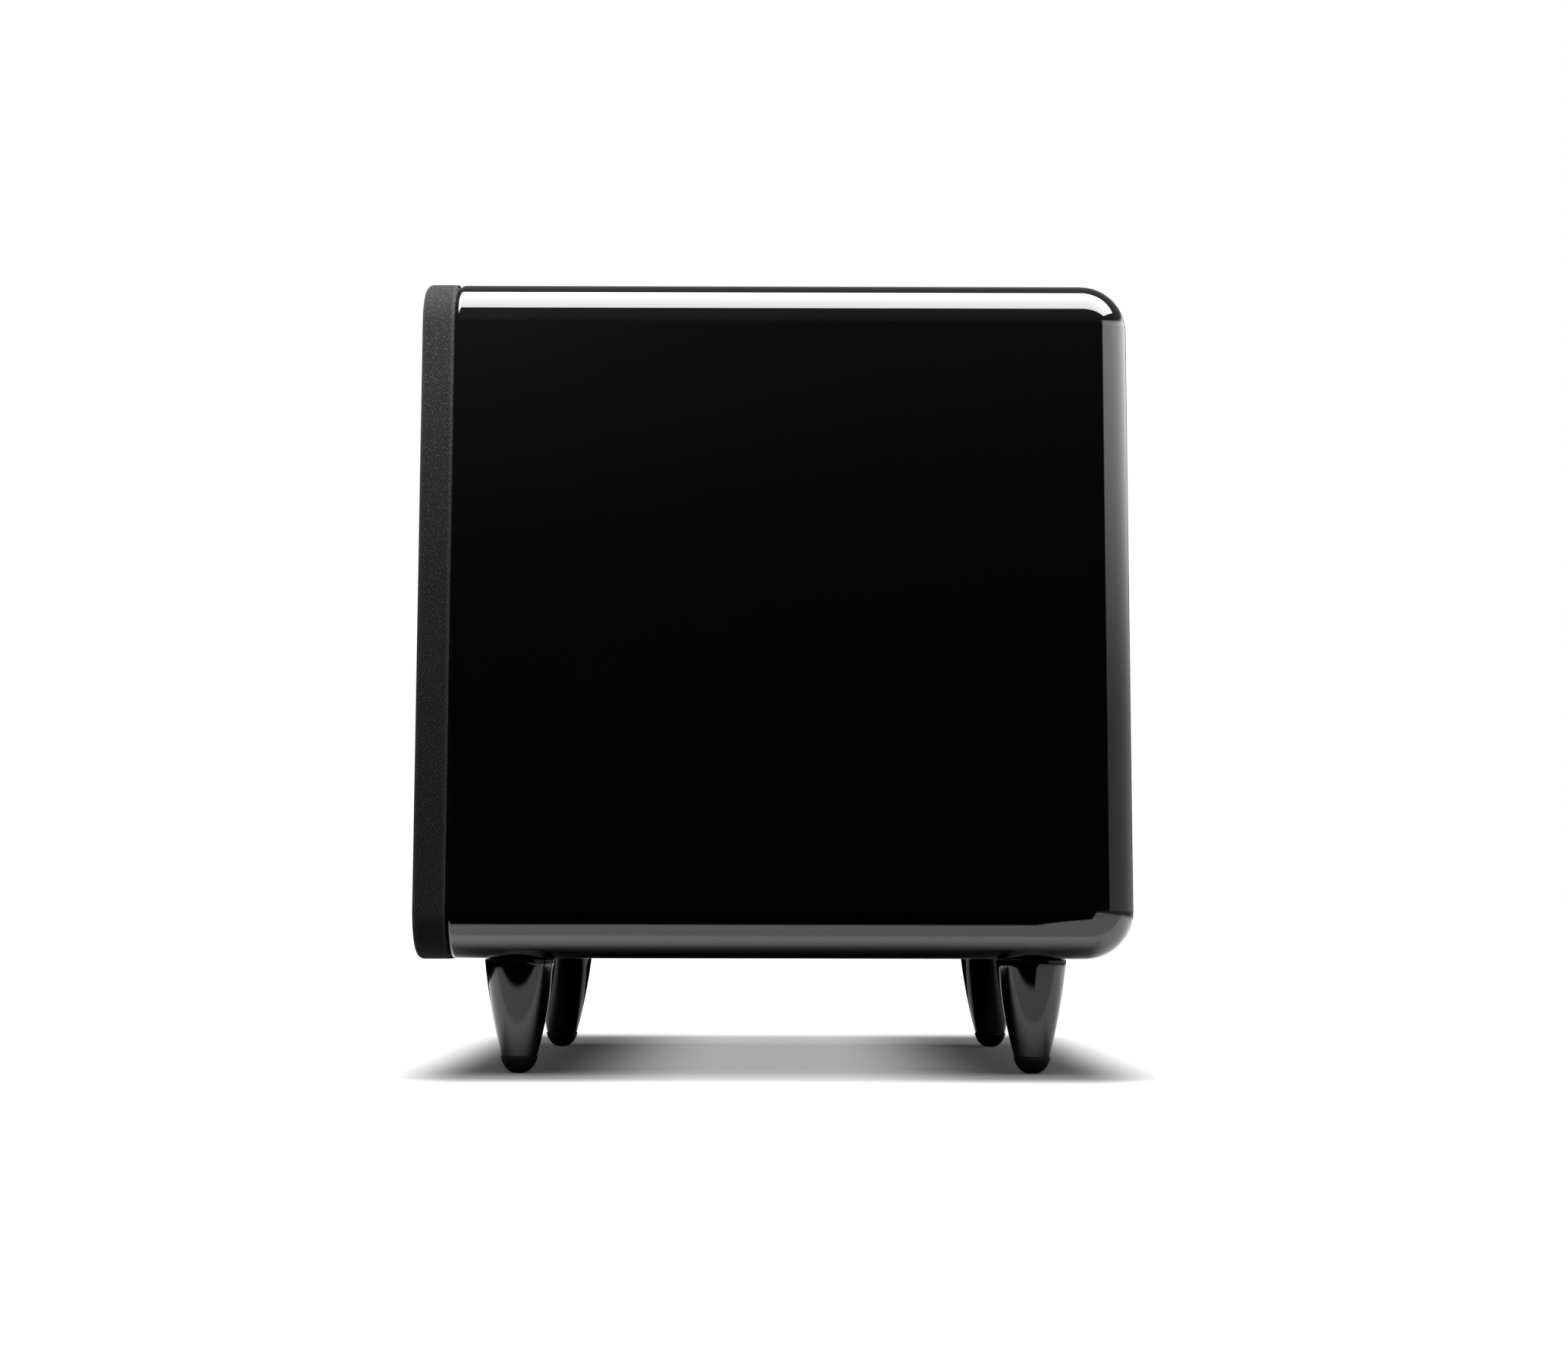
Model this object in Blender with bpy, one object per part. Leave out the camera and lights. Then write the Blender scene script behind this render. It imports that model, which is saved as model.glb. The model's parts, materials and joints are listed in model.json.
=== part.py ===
"""Compact powered subwoofer on four tapered legs, modelled piece by piece as it comes apart on a bench.

Metres, +Z up. The grille faces -Y and the amplifier tray faces +Y. The origin is on the floor, under the
middle of the whole object. A "setback" is a distance behind the front face of the cabinet, along +Y.
"""

import math

import bmesh
import bpy
from mathutils import Matrix, Vector
from mathutils.geometry import interpolate_bezier

# Gaps
GAP = 0.0003  # between pieces that touch
PLAY = 0.0005  # round pieces that move
OVERLAP = 0.001  # by which joined shapes and cutters run past each other

# Cabinet
CABINET_HEIGHT = 0.2875
CABINET_DEPTH = 0.286
PANEL = 0.015
BAFFLE = 0.018
EDGE_RADIUS = 0.020
EDGE_STEPS = 4
FRONT_ROUND = 0.0025
GROUND_CLEARANCE = 0.048

# Woofer flange, which sets the width of the cabinet
WOOFER_RADIUS = 0.104
WOOFER_MARGIN = 0.006
FLANGE_THICKNESS = 0.0037
FLANGE_WIDTH = 0.012
WOOFER_GASKET = 0.0008

# Grille
GRILLE_DEPTH = 0.0135
GRILLE_PROUD = 0.0003
GRILLE_SEAM = 0.0006
GRILLE_ROUND = 0.003
GRILLE_STEPS = 2
CLOTH = 0.0007
FRAME_RIM = 0.020
FRAME_CORNER = 0.040
PEG_INSET = 0.011
PEG_RADIUS = 0.0024
PEG_BALL = 0.0027
PEG_ROOT = 0.006
PEG_REACH = 0.009
SOCKET_RADIUS = 0.0055
SOCKET_LIP_RADIUS = 0.0075
SOCKET_LIP = 0.001
SOCKET_FLOOR = 0.0015

# Legs
LEG_INSET_SIDE = 0.029
LEG_INSET_END = 0.042
LEG_TOP_RADIUS = 0.0149
LEG_END_RADIUS = 0.0076
LEG_SWELL = 0.3  # share of the taper that comes late, which bows the side outwards
LEG_CHAMFER = 0.0005
LEG_STEPS = 4
STUD_RADIUS = 0.004
STUD_LENGTH = 0.013
FOOT_HEIGHT = 0.007
FOOT_RADIUS = 0.0080
FOOT_FLAT_RADIUS = 0.0033
SPIGOT_RADIUS = 0.003
SPIGOT_LENGTH = 0.004

# Moving parts of the woofer
ROLL_RADIUS = 0.0075
SURROUND_LIP = 0.0033
SURROUND_THICKNESS = 0.0012
ROLL_STEPS = 6
CONE_DEPTH = 0.036
CONE_THICKNESS = 0.0014
CONE_FLARE = 1.25
CONE_STEPS = 4
DUST_CAP_RADIUS = 0.033
DUST_CAP_RISE = 0.012
DUST_CAP_THICKNESS = 0.0009
COIL_RADIUS = 0.0254
FORMER_WALL = 0.0006
WINDING = 0.0012
WINDING_LENGTH = 0.016
SPIDER_RADIUS = 0.060
SPIDER_SETBACK = 0.044
SPIDER_THICKNESS = 0.0008
SPIDER_ROLLS = 3
SPIDER_WAVE = 0.0018

# Fixed parts of the woofer
BASKET_WALL = 0.0025
BASKET_RIB = 0.020
BASKET_CUP = 0.012
LEDGE = 0.006
MOTOR_GAP = 0.0007
TOP_PLATE_RADIUS = 0.052
TOP_PLATE = 0.006
MAGNET_RADIUS = 0.060
MAGNET_BORE = 0.033
MAGNET = 0.016
BACK_PLATE = 0.006
POLE_VENT = 0.005
WOOFER_SCREWS = 4
WOOFER_SCREW_RADIUS = 0.002
WOOFER_SCREW_HEAD = 0.0042
WOOFER_SCREW_LENGTH = 0.015
SCREW_INSET = 0.005
CROWN_SHARE = 0.7  # how far the flat top of a screw's head reaches towards its edge
TERMINAL_WIDTH = 0.018

# Brace, wadding and port
BRACE_SETBACK = 0.120
BRACE = 0.015
BRACE_RIM = 0.026
BRACE_CORNER = 0.030
WADDING = 0.018
WADDING_MARGIN = 0.012
PORT_RADIUS = 0.025
PORT_WALL = 0.0025
PORT_LENGTH = 0.125
PORT_FLARE = 0.009
PORT_LIP = 0.003
PORT_BEHIND_BRACE = 0.012

# Amplifier tray
TRAY_WIDTH = 0.152
TRAY_HEIGHT = 0.182
TRAY_DEPTH = 0.017
TRAY_WALL = 0.002
TRAY_CORNER = 0.008
TRAY_STEPS = 3
TRAY_SINK = 0.002
FLANGE = 0.012
AMP_GASKET = 0.0008
GASKET_WIDTH = 0.0035
AMP_SCREW_INSET = 0.0047
AMP_SCREW_RADIUS = 0.0016
AMP_SCREW_HEAD = 0.003
AMP_SCREW_LENGTH = 0.012

# What the tray carries, as (to the viewer's right, up) from the middle of the tray, seen from behind
KNOB_RADIUS = 0.0092
KNOB_HEIGHT = 0.0125
SHAFT_RADIUS = 0.003
LEVEL_AT = (-0.036, 0.056)
CROSSOVER_AT = (0.036, 0.056)
LAMP_AT = (0.0, 0.074)
LAMP_RADIUS = 0.002
SWITCH_TRAVEL = 0.004
SLIDER = (0.004, 0.0032)
PHASE_AT = (-0.036, 0.012)
AUTO_AT = (0.036, 0.012)
JACK_RADIUS = 0.00415
JACK_BORE = 0.0016
JACK_COLLAR = 0.006
JACK_LENGTH = 0.009
JACKS_AT = {"line_in_left": (-0.010, -0.014), "line_in_right": (0.010, -0.014)}
ROCKER_AT = (-0.040, -0.062)
ROCKER = (0.0098, 0.0155)
ROCKER_BODY = (0.0128, 0.0192)
ROCKER_BEZEL = (0.0158, 0.0222)
ROCKER_TILT = math.radians(8)
INLET_AT = (0.026, -0.062)
INLET_BODY = (0.0268, 0.0196)
INLET_BEZEL = (0.0304, 0.0232)
INLET_SOCKET = (0.0246, 0.0168)
INLET_DEPTH = 0.016
INLET_PIN = (0.002, 0.0044)
INLET_PINS_AT = ((-0.007, -0.0022), (0.007, -0.0022), (0.0, 0.0028))
BEZEL = 0.002

# Electronics behind the tray
BOARD_WIDTH = 0.124
BOARD_TOP = 0.082
BOARD_BOTTOM = -0.040
BOARD = 0.0016
BOARD_STANDOFF = 0.012
HEATSINK = (0.080, 0.044)
HEATSINK_BASE = 0.004
HEATSINK_FIN = 0.002
HEATSINK_FIN_LENGTH = 0.020
HEATSINK_FINS = 8
TRANSFORMER_RADIUS = 0.034
TRANSFORMER_BORE = 0.011
TRANSFORMER_HEIGHT = 0.032
TRANSFORMER_MARGIN = 0.007
LEAD_RADIUS = 0.002
LEAD_POINTS = 16
CAPACITOR_RADIUS = 0.0075
CAPACITOR_LENGTH = 0.015
POT_BODY = 0.015

# How round the turned pieces are
FINE = 28
COARSE = 18
SMALL = 12
SHARP_ANGLE = math.radians(35)  # edges that turn by more than this are drawn crisp

# Derived planes and sizes
CABINET_WIDTH = 2 * (WOOFER_RADIUS + WOOFER_MARGIN + PANEL)
TOTAL_DEPTH = CABINET_DEPTH + GRILLE_SEAM + GRILLE_DEPTH
FRONT = -TOTAL_DEPTH / 2
FACE = FRONT + GRILLE_DEPTH + GRILLE_SEAM
BACK = TOTAL_DEPTH / 2
UNDERSIDE = GROUND_CLEARANCE
TOP = UNDERSIDE + CABINET_HEIGHT
MIDDLE = (UNDERSIDE + TOP) / 2
INNER_WIDTH = CABINET_WIDTH - 2 * PANEL
INNER_HEIGHT = CABINET_HEIGHT - 2 * PANEL
CUTOUT_RADIUS = WOOFER_RADIUS - FLANGE_WIDTH
REBATE = FLANGE_THICKNESS + WOOFER_GASKET + 2 * GAP
SCREW_CIRCLE = WOOFER_RADIUS - SCREW_INSET
SURROUND_RADIUS = SCREW_CIRCLE - WOOFER_SCREW_HEAD - PLAY
ROLL_OUTER = SURROUND_RADIUS - SURROUND_LIP
CONE_RADIUS = ROLL_OUTER - 2 * ROLL_RADIUS
NECK_RADIUS = COIL_RADIUS + GAP
PLATE_SETBACK = SPIDER_SETBACK + BASKET_CUP
MOTOR_SETBACK = PLATE_SETBACK + BASKET_WALL + GAP
POLE_RADIUS = COIL_RADIUS - FORMER_WALL - MOTOR_GAP
PLATE_BORE = COIL_RADIUS + WINDING + MOTOR_GAP
TRAY_FLOOR = BACK - TRAY_SINK - TRAY_DEPTH
FLANGE_SIZE = (TRAY_WIDTH + 2 * FLANGE, TRAY_HEIGHT + 2 * FLANGE)
AMP_REBATE = TRAY_SINK + TRAY_WALL + AMP_GASKET + 2 * GAP
BOARD_FACE = TRAY_FLOOR - TRAY_WALL - BOARD_STANDOFF
PORT_AT = FACE + BRACE_SETBACK + BRACE + PORT_BEHIND_BRACE + PORT_RADIUS + PORT_WALL

TOWARDS_BACK = Matrix.Rotation(math.radians(-90), 4, "X")  # turns a piece made along +Z to lie along +Y


def new_material(name, colour, roughness, metallic=0.0):
    made = bpy.data.materials.new(name)
    made.use_nodes = True
    shader = made.node_tree.nodes["Principled BSDF"]
    shader.inputs["Base Color"].default_value = (*colour, 1.0)
    shader.inputs["Roughness"].default_value = roughness
    shader.inputs["Metallic"].default_value = metallic
    return made


def empty_at(name, place):
    empty = bpy.data.objects.new(name, None)
    empty.empty_display_size = 0.02
    empty.location = place
    bpy.context.scene.collection.objects.link(empty)
    return empty


def add_mesh(name, shape, finish=None, parent=None, matrix=None):
    """Puts a bmesh in the scene as an object. Without a finish it is a helper, which is not rendered."""
    bmesh.ops.recalc_face_normals(shape, faces=shape.faces)
    mesh = bpy.data.meshes.new(name)
    shape.to_mesh(mesh)
    shape.free()
    mesh.shade_smooth()
    mesh.set_sharp_from_angle(angle=SHARP_ANGLE)
    made = bpy.data.objects.new(name, mesh)
    bpy.context.scene.collection.objects.link(made)
    if matrix is not None:
        made.matrix_world = matrix
    if parent is not None:
        made.parent = parent
    if finish is None:
        made.hide_render = True
        made.display_type = "WIRE"
    else:
        mesh.materials.append(finish)
    return made


def box(low, high):
    low = Vector(low)
    high = Vector(high)
    place = Matrix.Translation((low + high) / 2) @ Matrix.Diagonal((*(high - low), 1.0))
    shape = bmesh.new()
    bmesh.ops.create_cube(shape, size=1.0, matrix=place)
    return shape


def bevel(shape, chosen, radius, steps):
    edges = [edge for edge in shape.edges if chosen(edge)]
    bmesh.ops.bevel(shape, geom=edges, offset=radius, segments=steps, profile=0.5, affect="EDGES")


def runs_along(axis):
    def test(edge):
        along = edge.verts[1].co - edge.verts[0].co
        return abs(along[axis]) > 0.999 * along.length

    return test


def lies_at(axis, place):
    def test(edge):
        return all(abs(vert.co[axis] - place) < GAP / 10 for vert in edge.verts)

    return test


def slab(width, height, near, far, corner=0.0, steps=EDGE_STEPS, centre=(0.0, 0.0)):
    """A flat piece that faces -Y, between near and far in Y, with rounded corners in front view."""
    x, z = centre
    shape = box((x - width / 2, near, z - height / 2), (x + width / 2, far, z + height / 2))
    if corner:
        bevel(shape, runs_along(1), corner, steps)
    return shape


def turned(outline, steps):
    """A solid turned round Z from (radius, height) points: a closed ring, or with both ends on the axis."""
    shape = bmesh.new()
    verts = [shape.verts.new((radius, 0.0, height)) for radius, height in outline]
    edges = [shape.edges.new(pair) for pair in zip(verts, verts[1:])]
    if outline[0][0] > 0.0:
        edges.append(shape.edges.new((verts[-1], verts[0])))
    turn = {"cent": (0, 0, 0), "axis": (0, 0, 1), "angle": math.tau}
    bmesh.ops.spin(shape, geom=verts + edges, steps=steps, use_merge=True, **turn)
    bmesh.ops.remove_doubles(shape, verts=shape.verts, dist=GAP / 1000)
    return shape


def rod(radius, low, high, steps=SMALL):
    return turned([(0.0, low), (radius, low), (radius, high), (0.0, high)], steps)


def at_setback(x, setback, z):
    """Places a piece made along +Z so that its height counts as setback, at (x, z) in front view."""
    return Matrix.Translation((x, FACE + setback, z)) @ TOWARDS_BACK


def on_tray(place, height=0.0):
    """Places a piece made along +Z on the tray's floor, standing towards the back, at a tray position."""
    right, up = place
    return Matrix.Translation((-right, TRAY_FLOOR + height, MIDDLE + up)) @ TOWARDS_BACK


def tray_box(place, size, low, high):
    """A box on the tray: size is (across, up), and low and high are heights over the tray's floor."""
    right, up = place
    return slab(size[0], size[1], TRAY_FLOOR + low, TRAY_FLOOR + high, centre=(-right, MIDDLE + up))


def combine(target, tool, operation):
    step = target.modifiers.new(f"{operation.lower()} {tool.name}", "BOOLEAN")
    step.object = tool
    step.operation = operation
    step.solver = "EXACT"


def cut(target, name, shape, matrix=None):
    combine(target, add_mesh(f"cut_{name}", shape, matrix=matrix), "DIFFERENCE")


def join(target, name, shape, matrix=None):
    combine(target, add_mesh(f"join_{name}", shape, matrix=matrix), "UNION")


def arc(centre, radii, start, end, steps):
    """Points on an ellipse's arc, in degrees from +X towards +Y, both ends included."""
    turns = [math.radians(start + (end - start) * step / steps) for step in range(steps + 1)]
    x, y = centre
    return [(x + radii[0] * math.cos(turn), y + radii[1] * math.sin(turn)) for turn in turns]


def side_places(inset_x, inset_y):
    """Where four pieces go under the cabinet, named as seen by someone facing the grille."""
    across = CABINET_WIDTH / 2 - inset_x
    along = TOTAL_DEPTH / 2 - inset_y
    return {
        "front_left": (-across, -along),
        "front_right": (across, -along),
        "back_left": (-across, along),
        "back_right": (across, along),
    }


def peg_places():
    """Where the grille is held, in front view, named as seen by someone facing it."""
    across = INNER_WIDTH / 2 - PEG_INSET
    up = INNER_HEIGHT / 2 - PEG_INSET
    return {
        "upper_left": (-across, MIDDLE + up),
        "upper_right": (across, MIDDLE + up),
        "lower_left": (-across, MIDDLE - up),
        "lower_right": (across, MIDDLE - up),
    }


def woofer_screw_places():
    turns = [math.tau * (index + 0.5) / WOOFER_SCREWS for index in range(WOOFER_SCREWS)]
    return [(SCREW_CIRCLE * math.cos(turn), MIDDLE + SCREW_CIRCLE * math.sin(turn)) for turn in turns]


def amp_screw_places():
    across = FLANGE_SIZE[0] / 2 - AMP_SCREW_INSET
    up = FLANGE_SIZE[1] / 2 - AMP_SCREW_INSET
    return [(-across, -up), (across, -up), (-across, up), (across, up)]


def make_cabinet(lacquer):
    half = CABINET_WIDTH / 2
    shape = box((-half, FACE, UNDERSIDE), (half, BACK, TOP))
    along_depth = runs_along(1)
    at_back = lies_at(1, BACK)
    bevel(shape, lambda edge: along_depth(edge) or at_back(edge), EDGE_RADIUS, EDGE_STEPS)
    bevel(shape, lies_at(1, FACE), FRONT_ROUND, 2)
    shell = add_mesh("cabinet_shell", shape, lacquer)
    inner_back = BACK - PANEL
    inside = slab(INNER_WIDTH, INNER_HEIGHT, FACE - OVERLAP, inner_back, centre=(0, MIDDLE))
    cut(shell, "inside", inside)
    size = (TRAY_WIDTH + 2 * GAP, TRAY_HEIGHT + 2 * GAP)
    hole = slab(*size, inner_back - OVERLAP, BACK + OVERLAP, TRAY_CORNER, TRAY_STEPS, (0, MIDDLE))
    cut(shell, "tray_hole", hole)
    size = (FLANGE_SIZE[0] + 2 * GAP, FLANGE_SIZE[1] + 2 * GAP)
    rebate = slab(*size, BACK - AMP_REBATE, BACK + OVERLAP, TRAY_CORNER, TRAY_STEPS, (0, MIDDLE))
    cut(shell, "tray_rebate", rebate)
    for index, place in enumerate(amp_screw_places()):
        pilot = rod(AMP_SCREW_RADIUS + GAP, -PANEL - OVERLAP, 0.0)
        cut(shell, f"amp_pilot_{index}", pilot, on_tray(place, TRAY_DEPTH))
    for side, (x, y) in side_places(LEG_INSET_SIDE, LEG_INSET_END).items():
        hole = rod(STUD_RADIUS + GAP, -OVERLAP, PANEL + OVERLAP)
        cut(shell, f"stud_hole_{side}", hole, Matrix.Translation((x, y, UNDERSIDE)))
    mouth = PORT_RADIUS + PORT_FLARE
    outline = [
        (0.0, -OVERLAP),
        (mouth + PORT_LIP + GAP, -OVERLAP),
        (mouth + PORT_LIP + GAP, PORT_LIP + GAP),
        (mouth + GAP, PORT_LIP + GAP),
        (mouth + GAP, PANEL + OVERLAP),
        (0.0, PANEL + OVERLAP),
    ]
    cut(shell, "port_hole", turned(outline, COARSE), Matrix.Translation((0, PORT_AT, UNDERSIDE)))


def make_baffle(board):
    size = (INNER_WIDTH - 2 * GAP, INNER_HEIGHT - 2 * GAP)
    plank = slab(*size, FACE, FACE + BAFFLE, centre=(0, MIDDLE))
    baffle = add_mesh("front_baffle", plank, board)
    outline = [
        (0.0, -OVERLAP),
        (WOOFER_RADIUS + GAP, -OVERLAP),
        (WOOFER_RADIUS + GAP, REBATE),
        (CUTOUT_RADIUS, REBATE),
        (CUTOUT_RADIUS, BAFFLE + OVERLAP),
        (0.0, BAFFLE + OVERLAP),
    ]
    cut(baffle, "woofer_hole", turned(outline, FINE), at_setback(0, 0, MIDDLE))
    for index, (x, z) in enumerate(woofer_screw_places()):
        pilot = rod(WOOFER_SCREW_RADIUS + GAP, 0.0, WOOFER_SCREW_LENGTH + OVERLAP)
        cut(baffle, f"woofer_pilot_{index}", pilot, at_setback(x, 0, z))
    lip = SOCKET_LIP_RADIUS + GAP
    barrel = SOCKET_RADIUS + GAP
    floor = GRILLE_SEAM + PEG_REACH + SOCKET_FLOOR + 3 * GAP
    outline = [(0.0, -OVERLAP), (lip, -OVERLAP), (lip, SOCKET_LIP + GAP), (barrel, SOCKET_LIP + GAP)]
    outline += [(barrel, floor), (0.0, floor)]
    for corner, (x, z) in peg_places().items():
        cut(baffle, f"socket_hole_{corner}", turned(outline, SMALL), at_setback(x, 0, z))


def make_brace(board):
    near = FACE + BRACE_SETBACK
    far = near + BRACE
    size = (INNER_WIDTH - 2 * GAP, INNER_HEIGHT - 2 * GAP)
    brace = add_mesh("window_brace", slab(*size, near, far, centre=(0, MIDDLE)), board)
    size = (size[0] - 2 * BRACE_RIM, size[1] - 2 * BRACE_RIM)
    window = slab(*size, near - OVERLAP, far + OVERLAP, BRACE_CORNER, EDGE_STEPS, (0, MIDDLE))
    cut(brace, "window", window)


def make_wadding(fibre):
    half = INNER_WIDTH / 2 - WADDING_MARGIN
    near = FACE + BAFFLE + WADDING_MARGIN
    far = FACE + BRACE_SETBACK - GAP
    ceiling = TOP - PANEL - GAP
    shape = box((-half, near, ceiling - WADDING), (half, far, ceiling))
    bevel(shape, lies_at(2, ceiling - WADDING), WADDING / 3, 2)
    add_mesh("damping_wadding", shape, fibre)


def make_port(plastic):
    mouth = PORT_RADIUS + PORT_FLARE
    outer = PORT_RADIUS + PORT_WALL
    # The flare is a quarter of a round, tangent to the bore and to the underside
    flare = arc((mouth, PORT_FLARE), (PORT_FLARE, PORT_FLARE), 180, 270, EDGE_STEPS)
    outline = [(mouth + PORT_LIP, 0.0), (mouth + PORT_LIP, PORT_LIP), (mouth - GAP, PORT_LIP)]
    outline += [(outer, PORT_FLARE + PORT_WALL), (outer, PORT_LENGTH), (PORT_RADIUS, PORT_LENGTH)]
    place = Matrix.Translation((0, PORT_AT, UNDERSIDE))
    add_mesh("port_tube", turned(outline + flare, COARSE), plastic, matrix=place)


def leg_outline():
    """The leg's side: its radius shrinks slowly under the cabinet and faster near the foot."""
    height = GROUND_CLEARANCE - FOOT_HEIGHT - 2 * GAP
    side = []
    for step in range(LEG_STEPS + 1):
        down = step / LEG_STEPS
        fall = (1 - LEG_SWELL) * down + LEG_SWELL * down * down
        radius = LEG_TOP_RADIUS - (LEG_TOP_RADIUS - LEG_END_RADIUS) * fall
        side.append((radius, GROUND_CLEARANCE - GAP - LEG_CHAMFER - (height - LEG_CHAMFER) * down))
    return side


def make_legs(gloss, rubber):
    top = GROUND_CLEARANCE - GAP
    side = leg_outline()
    bottom = side[-1][1]
    bore = SPIGOT_RADIUS + GAP
    bore_end = FOOT_HEIGHT + SPIGOT_LENGTH + GAP
    leg = [(0.0, top + STUD_LENGTH), (STUD_RADIUS, top + STUD_LENGTH), (STUD_RADIUS, top)]
    leg += [(LEG_TOP_RADIUS - LEG_CHAMFER, top)] + side
    leg += [(bore, bottom), (bore, bore_end), (0.0, bore_end)]
    radii = (FOOT_RADIUS - FOOT_FLAT_RADIUS, FOOT_HEIGHT)
    rise = arc((FOOT_FLAT_RADIUS, FOOT_HEIGHT), radii, 0, -90, LEG_STEPS)
    foot = [(0.0, FOOT_HEIGHT + SPIGOT_LENGTH), (SPIGOT_RADIUS, FOOT_HEIGHT + SPIGOT_LENGTH)]
    foot += [(SPIGOT_RADIUS, FOOT_HEIGHT)] + rise + [(0.0, 0.0)]
    for name, (x, y) in side_places(LEG_INSET_SIDE, LEG_INSET_END).items():
        place = Matrix.Translation((x, y, 0))
        add_mesh(f"leg_{name}", turned(leg, COARSE), gloss, matrix=place)
        add_mesh(f"foot_{name}", turned(foot, COARSE), rubber, matrix=place)


def make_grille(cloth, plastic, rubber):
    grille = empty_at("grille_slide", (0, FRONT, MIDDLE))
    inverse = Matrix.Translation((0, -FRONT, -MIDDLE))
    back = FRONT + GRILLE_DEPTH
    width = CABINET_WIDTH + 2 * GRILLE_PROUD
    height = CABINET_HEIGHT + 2 * GRILLE_PROUD
    radius = EDGE_RADIUS + GRILLE_PROUD

    skin = slab(width, height, FRONT, back, radius, centre=(0, MIDDLE))
    bevel(skin, lies_at(1, FRONT), GRILLE_ROUND, GRILLE_STEPS)
    skin = add_mesh("grille_cloth", skin, cloth, grille, inverse)
    size = (width - 2 * CLOTH, height - 2 * CLOTH)
    hollow = slab(*size, FRONT + CLOTH, back + OVERLAP, radius - CLOTH, centre=(0, MIDDLE))
    bevel(hollow, lies_at(1, FRONT + CLOTH), GRILLE_ROUND - CLOTH, GRILLE_STEPS)
    cut(skin, "inside_cloth", hollow)

    inset = CLOTH + GAP
    size = (width - 2 * inset, height - 2 * inset)
    rail = slab(*size, FRONT + inset, back, radius - inset, centre=(0, MIDDLE))
    bevel(rail, lies_at(1, FRONT + inset), GRILLE_ROUND - inset, GRILLE_STEPS)
    frame = add_mesh("grille_frame", rail, plastic, grille, inverse)
    size = (size[0] - 2 * FRAME_RIM, size[1] - 2 * FRAME_RIM)
    window = slab(*size, FRONT, back + OVERLAP, FRAME_CORNER, EDGE_STEPS, (0, MIDDLE))
    cut(frame, "frame_window", window)

    seat = back - PEG_ROOT
    tip = FACE + PEG_REACH
    ball = arc((0.0, tip - PEG_BALL), (PEG_BALL, PEG_BALL), -45, 90, EDGE_STEPS)
    peg = [(0.0, seat + GAP), (PEG_RADIUS, seat + GAP), (PEG_RADIUS, tip - 3 * PEG_BALL)]
    peg += ball[:-1] + [(0.0, tip)]
    lip = SOCKET_LIP_RADIUS
    bore = PEG_BALL + PLAY
    end = PEG_REACH + SOCKET_FLOOR + GAP
    socket = [(0.0, PEG_REACH + GAP), (bore, PEG_REACH + GAP), (bore, GAP), (lip, GAP), (lip, SOCKET_LIP)]
    socket += [(SOCKET_RADIUS, SOCKET_LIP), (SOCKET_RADIUS, end), (0.0, end)]
    for corner, (x, z) in peg_places().items():
        at_axis = Matrix.Translation((x, 0, z)) @ TOWARDS_BACK
        cut(frame, f"peg_hole_{corner}", rod(PEG_RADIUS + GAP, seat, back + OVERLAP), at_axis)
        add_mesh(f"grille_peg_{corner}", turned(peg, SMALL), plastic, grille, inverse @ at_axis)
        add_mesh(f"grille_socket_{corner}", turned(socket, SMALL), rubber, matrix=at_setback(x, 0, z))


def cone_setback(radius):
    """How far the cone's front surface lies behind the baffle's face, at a radius."""
    share = (radius - NECK_RADIUS) / (CONE_RADIUS - SURROUND_LIP - NECK_RADIUS)
    return GAP + (CONE_DEPTH - GAP) * (1 - share) ** CONE_FLARE


def make_moving_woofer(materials):
    travel = empty_at("cone_slide", (0, FACE, MIDDLE))
    lie = TOWARDS_BACK

    rim = CONE_RADIUS - SURROUND_LIP
    steps = range(CONE_STEPS + 1)
    radii = [rim + (NECK_RADIUS - rim) * step / CONE_STEPS for step in steps]
    front = [(CONE_RADIUS, GAP)] + [(radius, cone_setback(radius)) for radius in radii]
    back = [(radius, setback + CONE_THICKNESS) for radius, setback in reversed(front)]
    add_mesh("woofer_cone", turned(front + back, FINE), materials["cone"], travel, lie)

    # The dust cap is a shallow dome whose edge sits just over the cone
    sphere = (DUST_CAP_RADIUS**2 + DUST_CAP_RISE**2) / (2 * DUST_CAP_RISE)
    lean = math.degrees(math.asin(DUST_CAP_RADIUS / sphere))
    rest = cone_setback(DUST_CAP_RADIUS) - DUST_CAP_THICKNESS - GAP
    centre = (0.0, rest - DUST_CAP_RISE + sphere)
    outside = arc(centre, (sphere, sphere), -90, lean - 90, CONE_STEPS)
    inner = sphere - DUST_CAP_THICKNESS
    inside = arc(centre, (inner, inner), lean - 90, -90, CONE_STEPS)
    outside[0] = (0.0, outside[0][1])
    inside[-1] = (0.0, inside[-1][1])
    add_mesh("woofer_dust_cap", turned(outside + inside, COARSE), materials["cap"], travel, lie)

    former = COIL_RADIUS - FORMER_WALL
    near = MOTOR_SETBACK + (TOP_PLATE - WINDING_LENGTH) / 2
    far = near + WINDING_LENGTH
    wound = COIL_RADIUS + WINDING
    outline = [(former, CONE_DEPTH), (COIL_RADIUS, CONE_DEPTH), (COIL_RADIUS, near)]
    outline += [(wound, near), (wound, far), (COIL_RADIUS, far)]
    outline += [(COIL_RADIUS, far + OVERLAP), (former, far + OVERLAP)]
    add_mesh("woofer_coil", turned(outline, COARSE), materials["copper"], travel, lie)


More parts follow.
